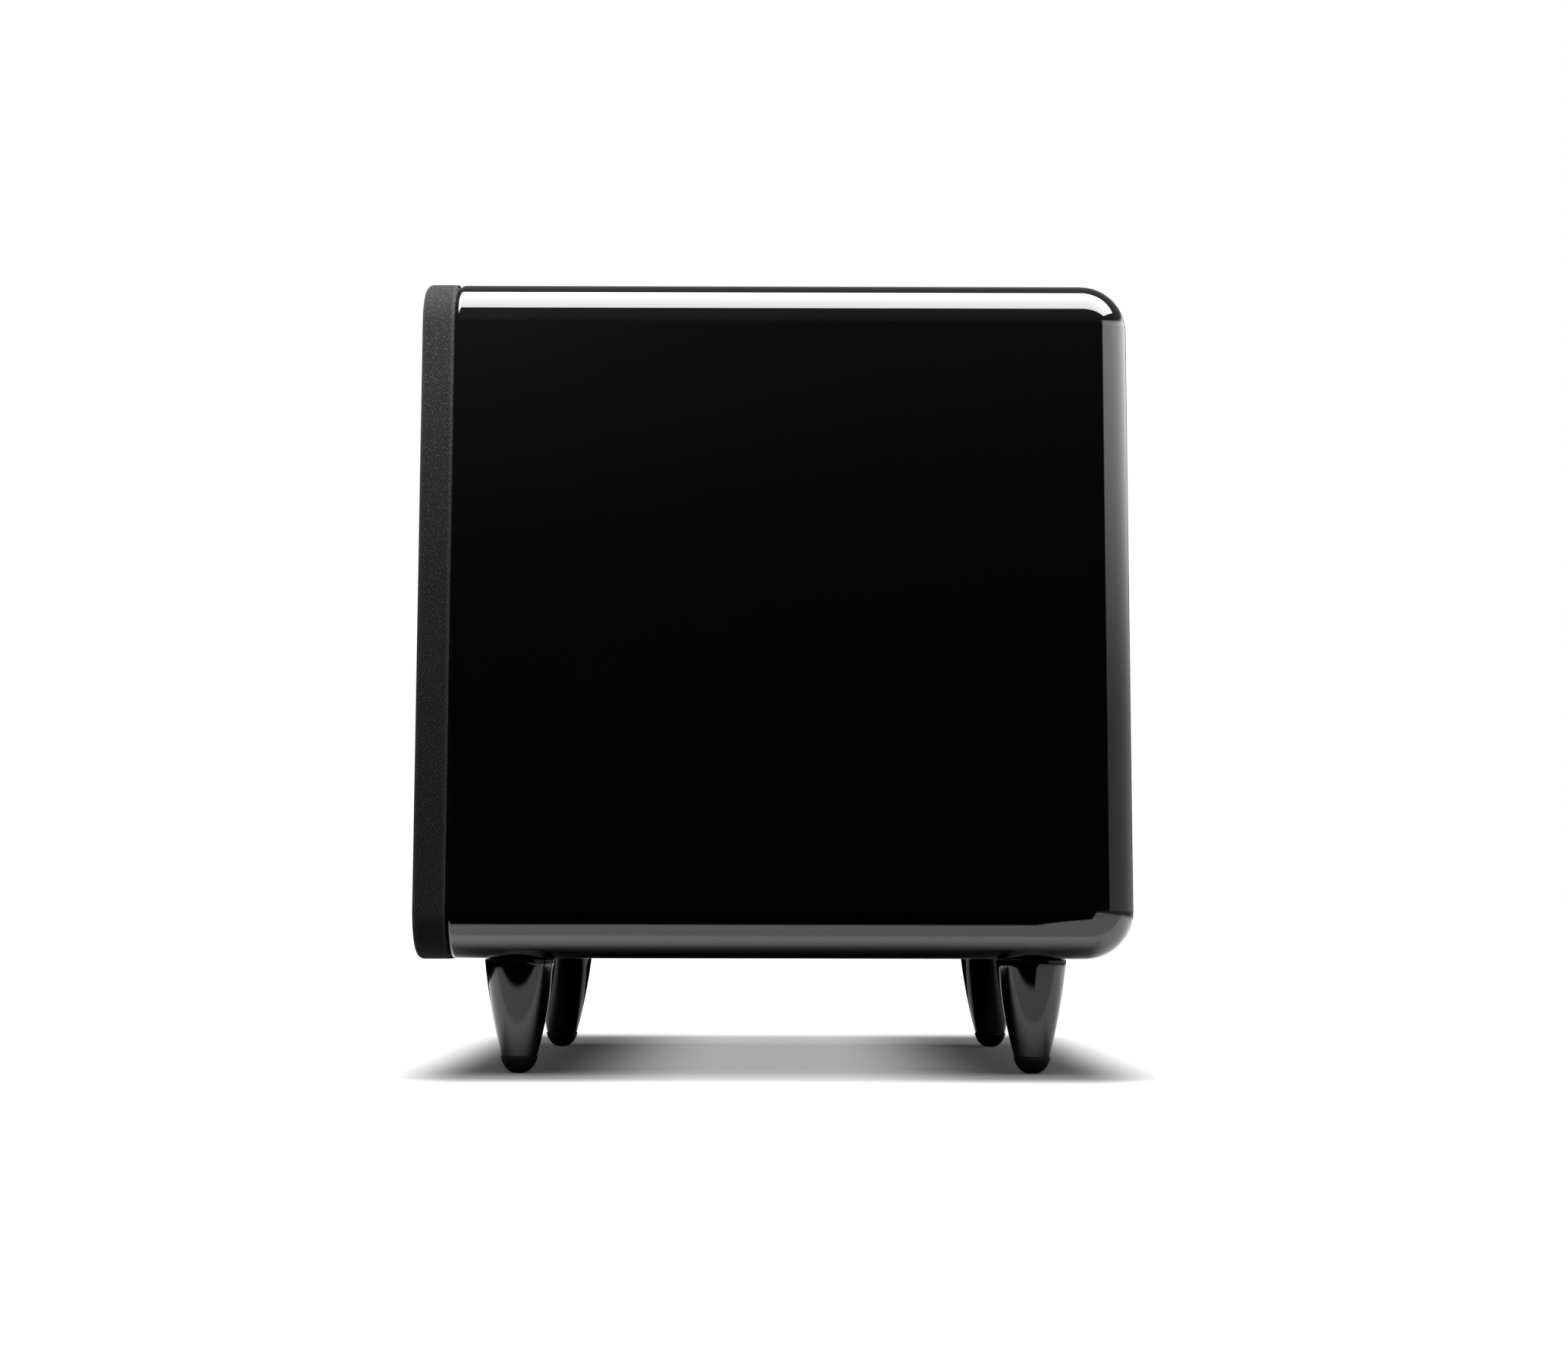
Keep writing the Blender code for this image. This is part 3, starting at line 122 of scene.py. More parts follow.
def calculate(tree, operation, *values):
    """Adds a Math node to a node tree, fed with numbers or sockets, and returns its output."""
    node = tree.nodes.new("ShaderNodeMath")
    node.operation = operation
    for socket, value in zip(node.inputs, values):
        if isinstance(value, (int, float)):
            socket.default_value = value
        else:
            tree.links.new(value, socket)
    return node.outputs["Value"]


def ramp(tree, value, low, high, start=0.0, end=1.0):
    """The start value below low and the end value above high, with a soft turn in between."""
    node = tree.nodes.new("ShaderNodeMapRange")
    node.interpolation_type = "SMOOTHSTEP"
    for name, number in {"From Min": low, "From Max": high, "To Min": start, "To Max": end}.items():
        node.inputs[name].default_value = number
    tree.links.new(value, node.inputs["Value"])
    return node.outputs["Result"]


def band(tree, value, edges, softness):
    """1 between two edges and 0 outside them."""
    opens = ramp(tree, value, edges[0] - softness, edges[0] + softness)
    closes = ramp(tree, value, edges[1] - softness, edges[1] + softness)
    return calculate(tree, "SUBTRACT", opens, closes)


def axes(tree, vector):
    """A vector's X, Y and Z, as three outputs."""
    node = tree.nodes.new("ShaderNodeSeparateXYZ")
    tree.links.new(vector, node.inputs["Vector"])
    return [node.outputs[name] for name in "XYZ"]


def own_place(tree):
    """Object coordinates, in metres."""
    return tree.nodes.new("ShaderNodeTexCoord").outputs["Object"]


def mixed(tree, factor, first, second, data_type="RGBA"):
    """The first value where the factor is 0 and the second where it is 1. Either may be a socket."""
    node = tree.nodes.new("ShaderNodeMix")
    node.data_type = data_type
    tree.links.new(factor, node.inputs["Factor"])
    for socket, value in ((node.inputs["A"], first), (node.inputs["B"], second)):
        if isinstance(value, bpy.types.NodeSocket):
            tree.links.new(value, socket)
        else:
            socket.default_value = value
    return node.outputs["Result"]


def tune(look, values):
    """Sets plain values on a finish's shader."""
    for name, value in values.items():
        look.node_tree.nodes["Principled BSDF"].inputs[name].default_value = value


bpy.ops.object.camera_add(location=CAMERA_PLACE)
camera = bpy.context.object
gaze = Vector((-math.cos(CAMERA_YAW), math.sin(CAMERA_YAW), math.tan(CAMERA_PITCH)))
camera.rotation_mode = "QUATERNION"
camera.rotation_quaternion = gaze.to_track_quat("-Z", "Y") @ Quaternion((0, 0, 1), CAMERA_ROLL)
camera.data.lens = CAMERA_LENS
camera.data.sensor_width = 36.0
bpy.context.scene.camera = camera
bpy.context.scene.view_settings.view_transform = "Standard"

studio = bpy.data.worlds.new("studio")
bpy.context.scene.world = studio
studio.use_nodes = True
sky = studio.node_tree
x, y, z = axes(sky, sky.nodes.new("ShaderNodeTexCoord").outputs["Generated"])
height = calculate(sky, "MAXIMUM", z, HORIZON)
across = calculate(sky, "DIVIDE", x, height)
along = calculate(sky, "DIVIDE", y, height)
sideways = band(sky, across, OVERHEAD_ACROSS, OVERHEAD_SOFT[0])
lengthways = band(sky, along, OVERHEAD_ALONG, OVERHEAD_SOFT[1])
overhead = calculate(sky, "MULTIPLY", sideways, lengthways)
overhead = calculate(sky, "MULTIPLY", overhead, OVERHEAD_LIGHT)
across = calculate(sky, "DIVIDE", x, calculate(sky, "MAXIMUM", y, HORIZON))
sideways = band(sky, across, REAR_ACROSS, REAR_SOFT[0])
rear = calculate(sky, "MULTIPLY", sideways, band(sky, z, REAR_UP, REAR_SOFT[1]))
strength = ramp(sky, z, *REAR_RISE, *REAR_LIGHT)
strength = calculate(sky, "MULTIPLY", strength, ramp(sky, across, *REAR_FADE, REAR_DIM, 1.0))
rear = calculate(sky, "MULTIPLY", rear, strength)
room = ramp(sky, z, *ROOM_RISE, *ROOM_LIGHT)
light = calculate(sky, "ADD", calculate(sky, "ADD", overhead, rear), room)
seen = sky.nodes.new("ShaderNodeLightPath").outputs["Is Camera Ray"]
backdrop = mixed(sky, seen, light, 1.0, "FLOAT")
sky.links.new(backdrop, sky.nodes["Background"].inputs["Strength"])
sky.nodes["Background"].inputs["Color"].default_value = (1.0, 1.0, 1.0, 1.0)

# A small soft lamp close over the grille, which leaves its upper end lighter than its lower end
bpy.ops.object.light_add(type="AREA", location=EDGE_LAMP_PLACE)
edge_lamp = bpy.context.object
edge_lamp.data.shape = "RECTANGLE"
edge_lamp.data.size = EDGE_LAMP_SIZE
edge_lamp.data.size_y = EDGE_LAMP_SIZE
edge_lamp.data.energy = EDGE_LAMP
edge_lamp.rotation_mode = "QUATERNION"
edge_lamp.rotation_quaternion = Vector(EDGE_LAMP_GAZE).to_track_quat("-Z", "Y")
edge_lamp.visible_glossy = False
edge_lamp.visible_camera = False

# The floor: white to the camera, with a painted shadow under the object. To other rays it is a pale table
# with painted shade under the object.
bpy.ops.mesh.primitive_plane_add(size=40.0)
floor = bpy.context.object
floor.name = "floor"
paper = bpy.data.materials.new("white_floor_painted_shadow")
paper.use_nodes = True
tree = paper.node_tree
x, y = axes(tree, own_place(tree))[:2]
away = calculate(tree, "ABSOLUTE", x)
along = calculate(tree, "ABSOLUTE", y)
shadow_side = calculate(tree, "ADD", ramp(tree, x, *SHADOW_NEAR), ramp(tree, x, *SHADOW_FAR, 1.0, 0.0))
shadow_end = ramp(tree, along, *SHADOW_END)
open_floor = calculate(tree, "MINIMUM", calculate(tree, "ADD", shadow_side, shadow_end), 1.0)
# Painted shadow: the glow is cut back under the object, most of all beside the legs.
under = ramp(tree, along, *SHADOW_LEGS, *SHADOW)
glow = calculate(tree, "MULTIPLY", open_floor, calculate(tree, "SUBTRACT", PAPER_GLOW, under))
glow = calculate(tree, "ADD", glow, under)
past_side = calculate(tree, "MAXIMUM", calculate(tree, "SUBTRACT", away, PLINTH[0] - PLINTH_ROUND), 0.0)
past_end = calculate(tree, "MAXIMUM", calculate(tree, "SUBTRACT", PLINTH_ROUND - PLINTH[1], y), 0.0)
behind = calculate(tree, "MAXIMUM", calculate(tree, "SUBTRACT", y, PLINTH_BEHIND), 0.0)
reach = calculate(tree, "MULTIPLY_ADD", behind, PLINTH_SPREAD, PLINTH_ROUND)
far_off = calculate(tree, "POWER", past_side, 2.0)
far_off = calculate(tree, "ADD", far_off, calculate(tree, "POWER", past_end, 2.0))
far_off = calculate(tree, "SUBTRACT", calculate(tree, "SQRT", far_off), reach)
# Painted shade on the pale table under the object, and a painted lighter band just beside it.
lit = calculate(tree, "MAXIMUM", ramp(tree, away, *SHADOW_CLOSE), shadow_end)
lit = calculate(tree, "MULTIPLY_ADD", lit, 1 - SHADOW_DARK, SHADOW_DARK)
lit = calculate(tree, "MULTIPLY", lit, ramp(tree, away, *PAINTED_LIGHT_EDGE, PAINTED_LIGHT_GAIN, 1.0))
lit = calculate(tree, "MULTIPLY", lit, ramp(tree, y, *PLINTH_END, 1.0, PLINTH_DARK))
pale = calculate(tree, "MULTIPLY", lit, ramp(tree, far_off, -PLINTH_SOFT, PLINTH_SOFT, FLOOR_COLOUR, 0.0))
seen = tree.nodes.new("ShaderNodeLightPath").outputs["Is Camera Ray"]
shader = tree.nodes["Principled BSDF"]
tree.links.new(mixed(tree, seen, pale, PAPER_COLOUR, "FLOAT"), shader.inputs["Base Color"])
tree.links.new(calculate(tree, "MULTIPLY", glow, seen), shader.inputs["Emission Strength"])
tune(paper, {"Emission Color": (1.0, 1.0, 1.0, 1.0), "Roughness": 1.0, "Specular IOR Level": 0.0})
floor.data.materials.append(paper)

# ---------------------------------------------------------------------------------------------------------
# The cabinet. Fibreboard panels with big round edges, primed, sprayed with black polyester, then flatted
# and polished to a deep gloss. The back is rebated for the control tray, and the underside for the port.

EDGE_RADIUS = 0.020
FRONT_EDGE = 0.0025
WALL = 0.015
TRAY_SIZE = (0.1526, 0.1826)
TRAY_CORNER = 0.008
REBATE_DEPTH = 0.0054
SEAM = 0.0003  # the gap that shows between two parts
PORT_REBATE = 0.0033
PORT_LEDGE = 0.0027
SPARE = 0.002  # by which a cutter runs past what it cuts
MOTTLE_SHADES = (0.86, 1.14)  # the darkest and the lightest of a finish, as shares of its colour


def begin():
    """Nothing is selected, so that the next tool works on the next piece only."""
    bpy.ops.object.select_all(action="DESELECT")


def hold(piece):
    """Makes a piece the only one selected, and the active one."""
    begin()
    piece.select_set(True)
    bpy.context.view_layer.objects.active = piece


def edit(piece):
    """Opens a piece's mesh for editing."""
    hold(piece)
    bpy.ops.object.mode_set(mode="EDIT")


def close():
    """Ends the editing of a mesh."""
    bpy.ops.object.mode_set(mode="OBJECT")


def block(name, low, high):
    """A block between two corners: the start of a piece."""
    begin()
    low = Vector(low)
    high = Vector(high)
    bpy.ops.mesh.primitive_cube_add(size=1.0, location=(low + high) / 2, scale=high - low)
    piece = bpy.context.object
    piece.name = name
    bpy.ops.object.transform_apply()
    return piece


def pick(kind, test):
    """In edit mode, selects the vertices, edges or faces that pass the test, and nothing else."""
    bpy.ops.mesh.select_mode(type=kind)
    bpy.ops.mesh.select_all(action="DESELECT")
    mesh = bpy.context.edit_object.data
    shape = bmesh.from_edit_mesh(mesh)
    for part in {"VERT": shape.verts, "EDGE": shape.edges, "FACE": shape.faces}[kind]:
        if test(part):
            part.select_set(True)
    shape.select_flush_mode()
    bmesh.update_edit_mesh(mesh)


def runs(edge, axis):
    """True for an edge that runs along an axis."""
    along = edge.verts[1].co - edge.verts[0].co
    return abs(along[axis]) > 0.999 * along.length


def lies(part, axis, place):
    """True for an edge or face that lies in the plane at a place on an axis."""
    return all(abs(vert.co[axis] - place) < 1e-5 for vert in part.verts)


def rounded(piece, test, radius, segments):
    """Bevels the edges that pass the test."""
    edit(piece)
    pick("EDGE", test)
    bpy.ops.mesh.bevel(offset=radius, segments=segments, profile=0.5, affect="EDGES")
    close()


def apply_steps(piece):
    """Applies the piece's modifiers, in order."""
    hold(piece)
    for step in list(piece.modifiers):
        bpy.ops.object.modifier_apply(modifier=step.name)


def carve(piece, cutter, operation="DIFFERENCE"):
    """Cuts the cutter out of the piece, or joins it on, and uses it up."""
    step = piece.modifiers.new("carve", "BOOLEAN")
    step.object = cutter
    step.operation = operation
    apply_steps(piece)
    bpy.data.objects.remove(cutter)


def soften(piece, width, segments=2, angle=40):
    """Breaks the piece's sharp edges with a small round, as tools and paint leave them."""
    step = piece.modifiers.new("soften", "BEVEL")
    step.width = width
    step.segments = segments
    step.limit_method = "ANGLE"
    step.angle_limit = math.radians(angle)
    step.use_clamp_overlap = True
    apply_steps(piece)


def smooth(piece, angle=30, weighted=True):
    """Shades the piece smooth up to an angle. Weighted normals keep its flat faces flat."""
    hold(piece)
    bpy.ops.object.shade_smooth_by_angle(angle=math.radians(angle))
    if weighted:
        step = piece.modifiers.new("flat faces", "WEIGHTED_NORMAL")
        step.keep_sharp = True
        step.weight = 100
        apply_steps(piece)


def place(piece, look, body, slot, *nodes):
    """Gives a finished piece its look and the body it rides on, and hides the CAD nodes it stands for. The
    slot is not used.
    """
    piece.data.materials.clear()
    piece.data.materials.append(look)
    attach(piece, body)
    if nodes:
        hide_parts(*nodes)


def new_group(name, inputs, outputs):
    """An empty node group with float inputs {name: value}, a Vector input first, and named float outputs."""
    group = bpy.data.node_groups.new(name, "ShaderNodeTree")
    group.interface.new_socket("Vector", in_out="INPUT", socket_type="NodeSocketVector")
    for socket, value in inputs.items():
        made = group.interface.new_socket(socket, in_out="INPUT", socket_type="NodeSocketFloat")
        made.default_value = value
    for socket in outputs:
        group.interface.new_socket(socket, in_out="OUTPUT", socket_type="NodeSocketFloat")
    return group, group.nodes.new("NodeGroupInput"), group.nodes.new("NodeGroupOutput")


def noise(tree, vector, scale, detail=3.0):
    """Adds a noise texture and returns its value."""
    node = tree.nodes.new("ShaderNodeTexNoise")
    node.inputs["Detail"].default_value = detail
    tree.links.new(vector, node.inputs["Vector"])
    if isinstance(scale, (int, float)):
        node.inputs["Scale"].default_value = scale
    else:
        tree.links.new(scale, node.inputs["Scale"])
    return node.outputs["Fac"]


# Grain: fine bumps of a given size in metres, and a slow mottle over tens of millimetres
grain, given, gives = new_group("grain", {"Size": 0.001}, ("Bumps", "Mottle"))
fineness = calculate(grain, "DIVIDE", 1.0, given.outputs["Size"])
grain.links.new(noise(grain, given.outputs["Vector"], fineness, 2.0), gives.inputs["Bumps"])
grain.links.new(noise(grain, given.outputs["Vector"], 34.0, 4.0), gives.inputs["Mottle"])

# Rubbed edges: a mask on outer corners, broken up so that it isn't even
rubbed, given, gives = new_group("rubbed_edges", {"Reach": 0.56}, ("Mask",))
corner = rubbed.nodes.new("ShaderNodeNewGeometry").outputs["Pointiness"]
over = calculate(rubbed, "SUBTRACT", corner, given.outputs["Reach"])
over = calculate(rubbed, "MULTIPLY", over, 14.0)
patchy = noise(rubbed, given.outputs["Vector"], 190.0, 4.0)
mask = calculate(rubbed, "MULTIPLY", over, ramp(rubbed, patchy, 0.42, 0.62))
clamped = calculate(rubbed, "MINIMUM", calculate(rubbed, "MAXIMUM", mask, 0.0), 1.0)
rubbed.links.new(clamped, gives.inputs["Mask"])


def add_group(tree, group, vector):
    """Adds a node group fed with a vector, and returns its node."""
    node = tree.nodes.new("ShaderNodeGroup")
    node.node_tree = group
    tree.links.new(vector, node.inputs["Vector"])
    return node


def emboss(tree, height, strength, distance):
    """Raises a finish's surface by a height mask, by up to a distance in metres."""
    bump = tree.nodes.new("ShaderNodeBump")
    bump.inputs["Strength"].default_value = strength
    bump.inputs["Distance"].default_value = distance
    tree.links.new(height, bump.inputs["Height"])
    tree.links.new(bump.outputs["Normal"], tree.nodes["Principled BSDF"].inputs["Normal"])


def new_look(
    name, colour, roughness, metallic=0.0, size=0.0008, bumps=0.3, depth=0.00005, uneven=0.06, wear=None
):
    """A finish with fine grain and uneven gloss. Where wear is a colour, its edges are rubbed to it."""
    look = bpy.data.materials.new(name)
    look.use_nodes = True
    tree = look.node_tree
    shader = tree.nodes["Principled BSDF"]
    tune(look, {"Metallic": metallic})
    where = own_place(tree)
    fine = add_group(tree, grain, where)
    fine.inputs["Size"].default_value = size
    mottle = fine.outputs["Mottle"]
    gloss = calculate(tree, "MULTIPLY_ADD", mottle, 2 * uneven, roughness - uneven)
    tree.links.new(gloss, shader.inputs["Roughness"])
    darker, lighter = ((*(share * value for value in colour), 1.0) for share in MOTTLE_SHADES)
    painted = mixed(tree, mottle, darker, lighter)
    if wear is not None:
        edges = add_group(tree, rubbed, where)
        painted = mixed(tree, edges.outputs["Mask"], painted, (*wear, 1.0))
    tree.links.new(painted, shader.inputs["Base Color"])
    if bumps:
        emboss(tree, fine.outputs["Bumps"], bumps, depth)
    return look


lacquer = new_look("black_lacquer", (0.00018, 0.00018, 0.0002), 0.03, size=0.004, bumps=0.02, uneven=0.01)

low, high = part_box("cabinet_shell")
front, back = low[1], high[1]
cabinet = block("cabinet", low, high)
rounded(cabinet, lambda edge: not lies(edge, 1, front), EDGE_RADIUS, 12)
rounded(cabinet, lambda edge: lies(edge, 1, front), FRONT_EDGE, 5)
middle = (low[2] + high[2]) / 2
carve(
    cabinet,
    block(
        "inside",
        (low[0] + WALL, front - SPARE, low[2] + WALL),
        (high[0] - WALL, back - WALL, high[2] - WALL),
    ),
)
half_tray = (TRAY_SIZE[0] / 2, TRAY_SIZE[1] / 2)
tray_hole = block(
    "tray_hole",
    (-half_tray[0], back - WALL - SPARE, middle - half_tray[1]),
    (half_tray[0], back + SPARE, middle + half_tray[1]),
)
rounded(tray_hole, lambda edge: runs(edge, 1), TRAY_CORNER, 6)
carve(cabinet, tray_hole)
flange_low, flange_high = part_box("amp_panel")
rebate = block(
    "rebate",
    (flange_low[0] - SEAM, back - REBATE_DEPTH, flange_low[2] - SEAM),
    (flange_high[0] + SEAM, back + SPARE, flange_high[2] + SEAM),
)
rounded(rebate, lambda edge: runs(edge, 1), TRAY_CORNER, 6)
carve(cabinet, rebate)
port_low, port_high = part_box("port_tube")
port_middle = ((port_low[0] + port_high[0]) / 2, (port_low[1] + port_high[1]) / 2)
port_edge = (port_high[0] - port_low[0]) / 2
for radius, depth in ((port_edge + SEAM, PORT_REBATE), (port_edge - PORT_LEDGE, WALL + SPARE)):
    begin()
    length = depth + SPARE
    spot = (*port_middle, low[2] - SPARE + length / 2)
    bpy.ops.mesh.primitive_cylinder_add(vertices=96, radius=radius, depth=length, location=spot)
    carve(cabinet, bpy.context.object)
smooth(cabinet, 20)
place(cabinet, lacquer, "cabinet", "gloss_lacquer", "cabinet_shell")

# ---------------------------------------------------------------------------------------------------------
# Four turned legs. Each is a gloss black taper that bows out slightly, held by a stud from above, and ends
# in a domed rubber foot with a small flat, set off from the leg by a fine groove.

LEG_END_RADIUS = 0.0076
LEG_SWELL = 0.42
LEG_EDGE = 0.0005
LEG_STEPS = 14
FOOT_HEIGHT = 0.007
FOOT_RADIUS = 0.0078
FOOT_FLAT = 0.0014
FOOT_LIP = 0.0004
FOOT_TURN = 20  # degrees that the dome's side already leans in at its top
SIDES = 72


def turned(name, outline, at, axis, sides=SIDES, angle=math.tau):
    """Spins (radius, distance) points round an axis through a place, as a lathe would, and closes it."""
    begin()
    along = Vector(axis)
    out = Vector((0, 0, 1)) if abs(along.z) < 0.5 else Vector((1, 0, 0))
    spots = [Vector(at) + out * radius + along * far for radius, far in outline]
    if outline[0][0] > 0.0:
        spots.append(spots[0])
    bpy.ops.mesh.primitive_plane_add(size=0.001, location=spots[0])
    piece = bpy.context.object
    piece.name = name
    bpy.ops.object.transform_apply()
    edit(piece)
    bpy.ops.mesh.select_mode(type="VERT")
    bpy.ops.mesh.select_all(action="SELECT")
    bpy.ops.mesh.merge(type="CENTER")
    for before, after in zip(spots, spots[1:]):
        bpy.ops.mesh.extrude_region_move(TRANSFORM_OT_translate={"value": after - before})
    bpy.ops.mesh.select_all(action="SELECT")
    bpy.ops.mesh.remove_doubles(threshold=1e-6)
    bpy.ops.mesh.spin(steps=sides, angle=angle, center=at, axis=along)
    bpy.ops.mesh.select_all(action="SELECT")
    bpy.ops.mesh.remove_doubles(threshold=1e-6)
    bpy.ops.mesh.fill_holes(sides=0)
    bpy.ops.mesh.normals_make_consistent(inside=False)
    close()
    return piece


def arc(centre, radii, start, end, steps):
    """Points on an ellipse's arc, in degrees, both ends included."""
    turns = [math.radians(start + (end - start) * step / steps) for step in range(steps + 1)]
    return [
        (centre[0] + radii[0] * math.cos(turn), centre[1] + radii[1] * math.sin(turn)) for turn in turns
    ]


def copy_to(piece, name, move):
    """A copy of a finished piece, with its own mesh, moved from the first one's place."""
    hold(piece)
    bpy.ops.object.duplicate()
    made = bpy.context.object
    made.name = name
    bpy.ops.transform.translate(value=move)
    bpy.ops.object.transform_apply()
    return made


leg_gloss = new_look(
    "black_leg_lacquer", (0.0003, 0.0003, 0.00032), 0.07, size=0.003, bumps=0.03, uneven=0.02
)
tune(leg_gloss, {"Specular IOR Level": 0.28})
foot_rubber = new_look("foot_rubber", (0.0006, 0.0006, 0.0006), 0.6, size=0.0004, bumps=0.5, uneven=0.1)
tune(foot_rubber, {"Specular IOR Level": 0.04})
corners = {"front_left": (-1, -1), "front_right": (1, -1), "back_left": (-1, 1), "back_right": (1, 1)}
leg_low, leg_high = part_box("leg_front_left")
leg_radius = (leg_high[0] - leg_low[0]) / 2
leg_spot = ((leg_low[0] + leg_high[0]) / 2, (leg_low[1] + leg_high[1]) / 2)
leg_top = low[2] - SEAM
side = []
for step in range(LEG_STEPS + 1):
    down = step / LEG_STEPS
    fall = (1 - LEG_SWELL) * down + LEG_SWELL * down * down
    height = leg_top - LEG_EDGE - (leg_top - LEG_EDGE - FOOT_HEIGHT - SEAM) * down
    side.append((leg_radius - (leg_radius - LEG_END_RADIUS) * fall, height))
crown = arc((leg_radius - LEG_EDGE, leg_top - LEG_EDGE), (LEG_EDGE, LEG_EDGE), 90, 0, 3)
leg_outline = [(0.0, leg_top)] + crown + side[1:]
leg_outline += [(LEG_END_RADIUS - LEG_EDGE, FOOT_HEIGHT), (0.0, FOOT_HEIGHT)]
lean = math.radians(FOOT_TURN)
dome_wide = (FOOT_RADIUS - FOOT_FLAT) / math.cos(lean)
dome_high = (FOOT_HEIGHT - FOOT_LIP) / (1 - math.sin(lean))
dome = arc((FOOT_FLAT, dome_high), (dome_wide, dome_high), -FOOT_TURN, -90, 10)
rim = arc((FOOT_RADIUS - FOOT_LIP, FOOT_HEIGHT - FOOT_LIP), (FOOT_LIP, FOOT_LIP), 90, 0, 3)
foot_outline = [(0.0, FOOT_HEIGHT - FOOT_LIP / 4)] + rim[:-1] + dome + [(0.0, 0.0)]
first_leg = turned("leg_front_left_turned", leg_outline, (*leg_spot, 0), (0, 0, 1))
smooth(first_leg, 40, weighted=False)
first_foot = turned("foot_front_left_moulded", foot_outline, (*leg_spot, 0), (0, 0, 1))
smooth(first_foot, 60, weighted=False)
for corner, (across, along) in corners.items():
    move = (across * abs(leg_spot[0]) - leg_spot[0], along * abs(leg_spot[1]) - leg_spot[1], 0)
    leg = first_leg if corner == "front_left" else copy_to(first_leg, f"leg_{corner}_turned", move)
    foot = first_foot if corner == "front_left" else copy_to(first_foot, f"foot_{corner}_moulded", move)
    place(leg, leg_gloss, "cabinet", "gloss_leg", f"leg_{corner}")
    place(foot, foot_rubber, "cabinet", "rubber", f"foot_{corner}")

# ---------------------------------------------------------------------------------------------------------
# The grille. Charcoal knitted cloth is pulled over a moulded frame and its edge is turned in at the back,
# which leaves a fine hem. Four pegs on the frame push into rubber sockets in the baffle.

CLOTH_THICKNESS = 0.0006
GRILLE_ROUND = 0.003
GRILLE_CORNER = 0.0203
CLOTH_PITCH = 0.00096  # from one diagonal rib of the knit to the next
HEM = 0.0009
HEM_ROUND = 0.00025
KNIT_DARK = (0.0006, 0.0006, 0.00063)
KNIT_LIGHT = (0.0085, 0.0085, 0.0088)
KNIT_WANDER = 0.00042
KNIT_BUMP = (0.9, 0.00022)
KNIT_SLOPES = (0.52, -0.45)  # how far the ribs and the stitches lean
HEM_SHARP = 0.0003
HEM_GAIN = 0.22

# Knit: diagonal ribs made of small stitches, darker in colour where they are low, with painted glints that
# lighten random stitches. The vector is the cloth's own flat surface, in metres.
knit, given, gives = new_group("knit", {"Pitch": 0.001}, ("Stitch_and_painted_glints", "Height"))
wander = calculate(knit, "MULTIPLY", noise(knit, given.outputs["Vector"], 260.0, 2.0), KNIT_WANDER)
flat_x, flat_y = axes(knit, given.outputs["Vector"])[:2]
u = calculate(knit, "ADD", flat_x, wander)
v = calculate(knit, "ADD", flat_y, wander)
turns = calculate(knit, "DIVIDE", math.tau, given.outputs["Pitch"])
rib = calculate(knit, "MULTIPLY", calculate(knit, "MULTIPLY_ADD", u, KNIT_SLOPES[0], v), turns)
loop = calculate(knit, "MULTIPLY", calculate(knit, "MULTIPLY_ADD", v, KNIT_SLOPES[1], u), turns)
rib = calculate(knit, "MULTIPLY_ADD", calculate(knit, "SINE", rib), 0.5, 0.5)
loop = calculate(knit, "MULTIPLY_ADD", calculate(knit, "SINE", loop), 0.5, 0.5)
stitch = calculate(knit, "MULTIPLY", rib, calculate(knit, "MULTIPLY_ADD", loop, 0.7, 0.3))
# Painted glints: random specks make some stitches lighter in colour.
glint = ramp(knit, noise(knit, given.outputs["Vector"], 900.0, 1.0), 0.5, 0.72)
lit = calculate(knit, "MULTIPLY", stitch, calculate(knit, "MULTIPLY_ADD", glint, 0.9, 0.55))
knit.links.new(lit, gives.inputs["Stitch_and_painted_glints"])
knit.links.new(stitch, gives.inputs["Height"])

grille_cloth = bpy.data.materials.new("charcoal_knit")
grille_cloth.use_nodes = True
tree = grille_cloth.node_tree
shader = tree.nodes["Principled BSDF"]
surface = tree.nodes.new("ShaderNodeUVMap")
surface.uv_map = "cloth"
weave = add_group(tree, knit, surface.outputs["UV"])
weave.inputs["Pitch"].default_value = CLOTH_PITCH
cloth_low, cloth_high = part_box("grille_cloth")
y = axes(tree, own_place(tree))[1]
# The cloth is lighter in colour in a thin band along its back edge.
hem = ramp(tree, y, cloth_high[1] - HEM - HEM_SHARP, cloth_high[1] - HEM)
lit = calculate(tree, "MULTIPLY_ADD", hem, HEM_GAIN, weave.outputs["Stitch_and_painted_glints"])
yarn = mixed(tree, lit, (*KNIT_DARK, 1.0), (*KNIT_LIGHT, 1.0))
tree.links.new(yarn, shader.inputs["Base Color"])
tune(
    grille_cloth,
    {"Roughness": 0.85, "Specular IOR Level": 0.04, "Sheen Weight": 0.01, "Sheen Roughness": 0.4},
)
emboss(tree, weave.outputs["Height"], *KNIT_BUMP)

